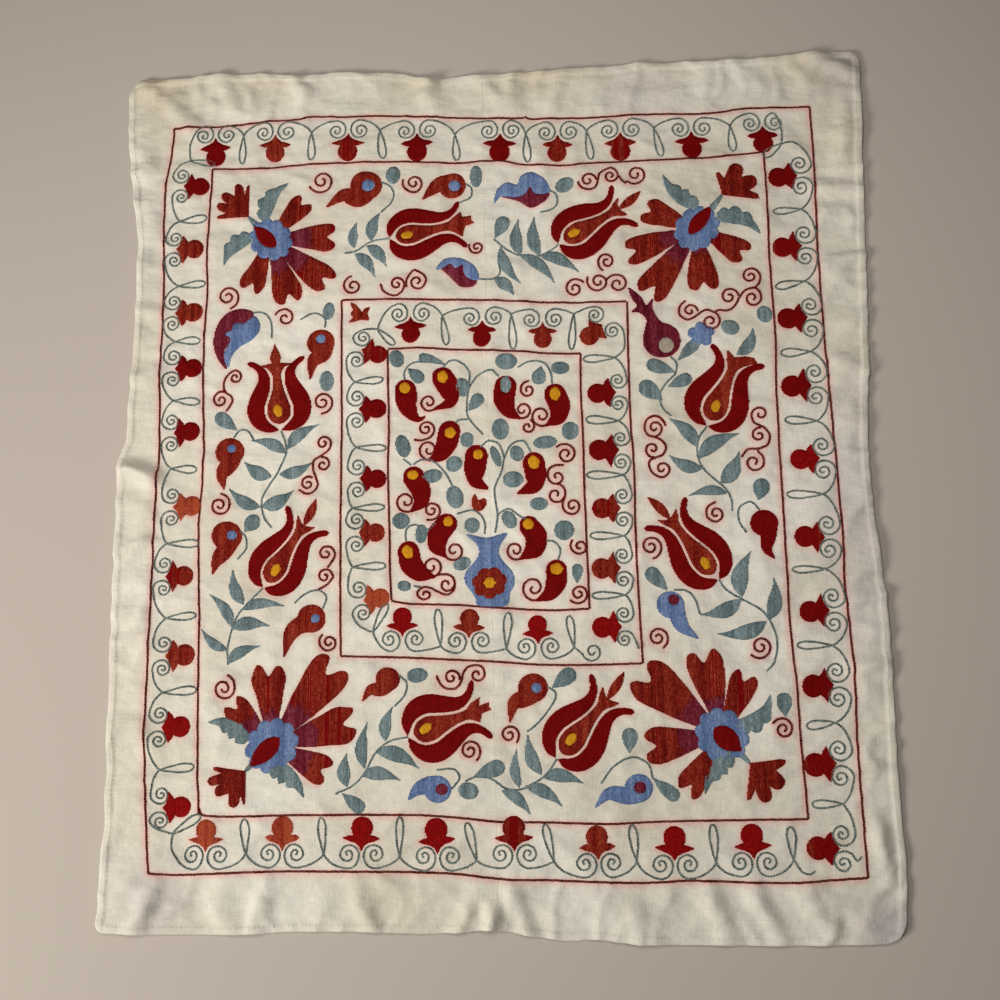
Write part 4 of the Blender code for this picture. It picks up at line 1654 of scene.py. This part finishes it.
def thread_material(name, stops):
    """Embroidery thread whose colour runs along the tone attribute, with speckled unevenness."""
    material, tree, shader = new_material(name, 0.75, 0.05)
    speck = place_noise(tree, 480, 2.0, 0.6, (1, 0.75, 1))
    dye = attribute(tree, "tone")
    speckle = math_node(tree, "MULTIPLY", math_node(tree, "SUBTRACT", speck, 0.5), 1.5)
    tone = math_node(tree, "ADD", dye, speckle, True)
    tree.links.new(ramp(tree, tone, stops), shader.inputs["Base Color"])
    fibre = place_noise(tree, 900, 2.0, 0.5, (1, 0.2, 1), (1, 4, 0))
    bump(tree, shader, ((fibre, 0.0008, 0.4), (speck, 0.0012, 0.4)))
    return material


# Thread colours: a slot name, and the ramp of the dye from its darkest.
THREADS = {
    "fill_red": ("thread_red", ((0.0, "640405"), (0.5, "7d0708"), (1.0, "a00e0c"))),
    "fill_rust": (
        "thread_rust", ((0.0, "5a0b08"), (0.35, "781b0f"), (0.7, "8e3020"), (1.0, "a54a2e")),
    ),
    "fill_plum": ("thread_plum", ((0.0, "4c0c18"), (0.5, "6c1c2b"), (1.0, "86414c"))),
    "fill_blue": ("thread_blue", ((0.0, "4c5f86"), (0.5, "6479a0"), (1.0, "8a9ab8"))),
    "fill_teal": ("thread_teal", ((0.0, "526161"), (0.5, "6e7e80"), (1.0, "909e9e"))),
    "fill_yellow": ("thread_yellow", ((0.0, "b5770f"), (1.0, "e2a428"))),
    "fill_grey": ("thread_teal", ((0.0, "8c8072"), (1.0, "bdb09d"))),
    "chain_frame": ("thread_red", ((0.0, "430d0a"), (1.0, "742219"))),
    "chain_curl": ("thread_red", ((0.0, "4e080a"), (1.0, "7e1312"))),
    "chain_scroll": ("thread_teal", ((0.0, "56615c"), (1.0, "8a938a"))),
    "chain_stem": ("thread_teal", ((0.0, "566462"), (1.0, "849390"))),
}


def stops_of(rows):
    """Ramp stops from rows of a place and a hex colour."""
    return [(place, srgb(colour)) for place, colour in rows]


# ---------------------------------------------------------------- pieces
COTTON = cotton_material()


def hump(value, middle, half):
    """Soft step up and down about a middle."""
    return np.clip(1 - np.abs(value - middle) / half, 0, 1) ** 0.7


def cloth_piece(name, node, is_left):
    """One visible cotton panel with its stain maps, one of them grey-lilac patches that are partly stain and
    partly painted shade.
    """
    points, faces = panel_mesh(is_left)
    x, y = points[:, 0], points[:, 1]
    bleed = np.clip(field_at(BLEED, x, y) * 0.9, 0, 0.58)
    stain = np.clip(
        0.34 * hump(y, 518, 45) * (0.45 + 0.55 * np.sin(x / 37.0) * np.sin(x / 91.0 + 1))
        + 0.22 * hump(x, 425, 60) * hump(y, 410, 110)
        + 0.16 * hump(x, -430, 50) * (0.5 + 0.5 * np.sin(y / 60.0)),
        0, 0.45,
    )
    # Grey-lilac patches down the right margin and at some corners: partly stain, partly painted shade where
    # the cloth lies darker, away from the key light.
    lilac_stain_and_shade = np.clip(
        0.75 * hump(x, 425, 45) * hump(y, -512, 40)
        + 0.5 * hump(x, 428, 55) * hump(y, -60, 190)
        + 0.45 * hump(x, 435, 50) * hump(y, 515, 60)
        + 0.4 * hump(x, -390, 60) * hump(y, -480, 60)
        + 0.3 * hump(x, 190, 50) * hump(y, 480, 60),
        0, 0.8,
    )
    obj = mesh_object(name, points, faces.tolist(), {"bleed": bleed, "stain": stain, "lilac_stain_and_shade": lilac_stain_and_shade})
    obj.data.materials.append(COTTON)
    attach(obj, "root")
    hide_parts(node)
    return obj


cloth_left = cloth_piece("cloth_left", "panel_left", True)
cloth_right = cloth_piece("cloth_right", "panel_right", False)

for key, threads in list(FILLS.items()) + list(CHAINS.items()):
    name = ("fill_" if key in FILLS else "chain_") + key
    slot_name, rows = THREADS[name]
    obj = threads.build(name)
    obj.data.materials.append(thread_material("yarn_" + name, stops_of(rows)))
    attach(obj, "root")

edging = EDGING.build("sewing_thread")
edging.data.materials.append(
    thread_material("yarn_sewing", stops_of(((0.0, "d4cbb8"), (1.0, "e6e0d0"))))
)
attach(edging, "root")

# ---------------------------------------------------------------- floor, light and camera
# The floor lies just under the cloth, clear of its lowest faces.
FLOOR_DROP = 0.0004
bpy.ops.mesh.primitive_plane_add(size=8.0, location=(0, 0, -FLOOR_DROP))
floor = bpy.context.object
floor.name = "floor"
floor_material, floor_tree, floor_shader = new_material("floor_matt", 0.85, 0.25)
floor_shader.inputs["Base Color"].default_value = (*srgb("b8ada1"), 1.0)
floor.data.materials.append(floor_material)


def area_light(name, place, size, power, colour):
    """Square soft light aimed at the middle of the cloth."""
    data = bpy.data.lights.new(name, "AREA")
    data.shape = "SQUARE"
    data.size = size
    data.energy = power
    data.color = colour
    obj = bpy.data.objects.new(name, data)
    bpy.context.scene.collection.objects.link(obj)
    obj.location = place
    obj.rotation_euler = Vector([-v for v in place]).to_track_quat("-Z", "Y").to_euler()


# Name, place in metres, size in metres, power in watts, colour.
area_light("key", (-2.1, -1.2, 1.35), 0.8, 64.0, (1.0, 0.99, 0.96))
area_light("top", (-0.1, 0.2, 1.27), 0.7, 9.8, (1.0, 0.97, 0.95))

world = bpy.data.worlds.new("studio")
world.use_nodes = True
world.node_tree.nodes["Background"].inputs["Color"].default_value = (1.0, 0.95, 0.93, 1.0)
world.node_tree.nodes["Background"].inputs["Strength"].default_value = 0.04
bpy.context.scene.world = world
bpy.context.scene.view_settings.view_transform = "Standard"

camera_data = bpy.data.cameras.new("camera")
camera_data.sensor_width = 36.0
camera_data.lens = 36.0
camera = bpy.data.objects.new("camera", camera_data)
camera.location = (0.0547, -0.2255, 1.166)
camera.rotation_euler = (math.radians(9.38), math.radians(2.55), math.radians(-0.8))
bpy.context.scene.collection.objects.link(camera)
bpy.context.scene.camera = camera
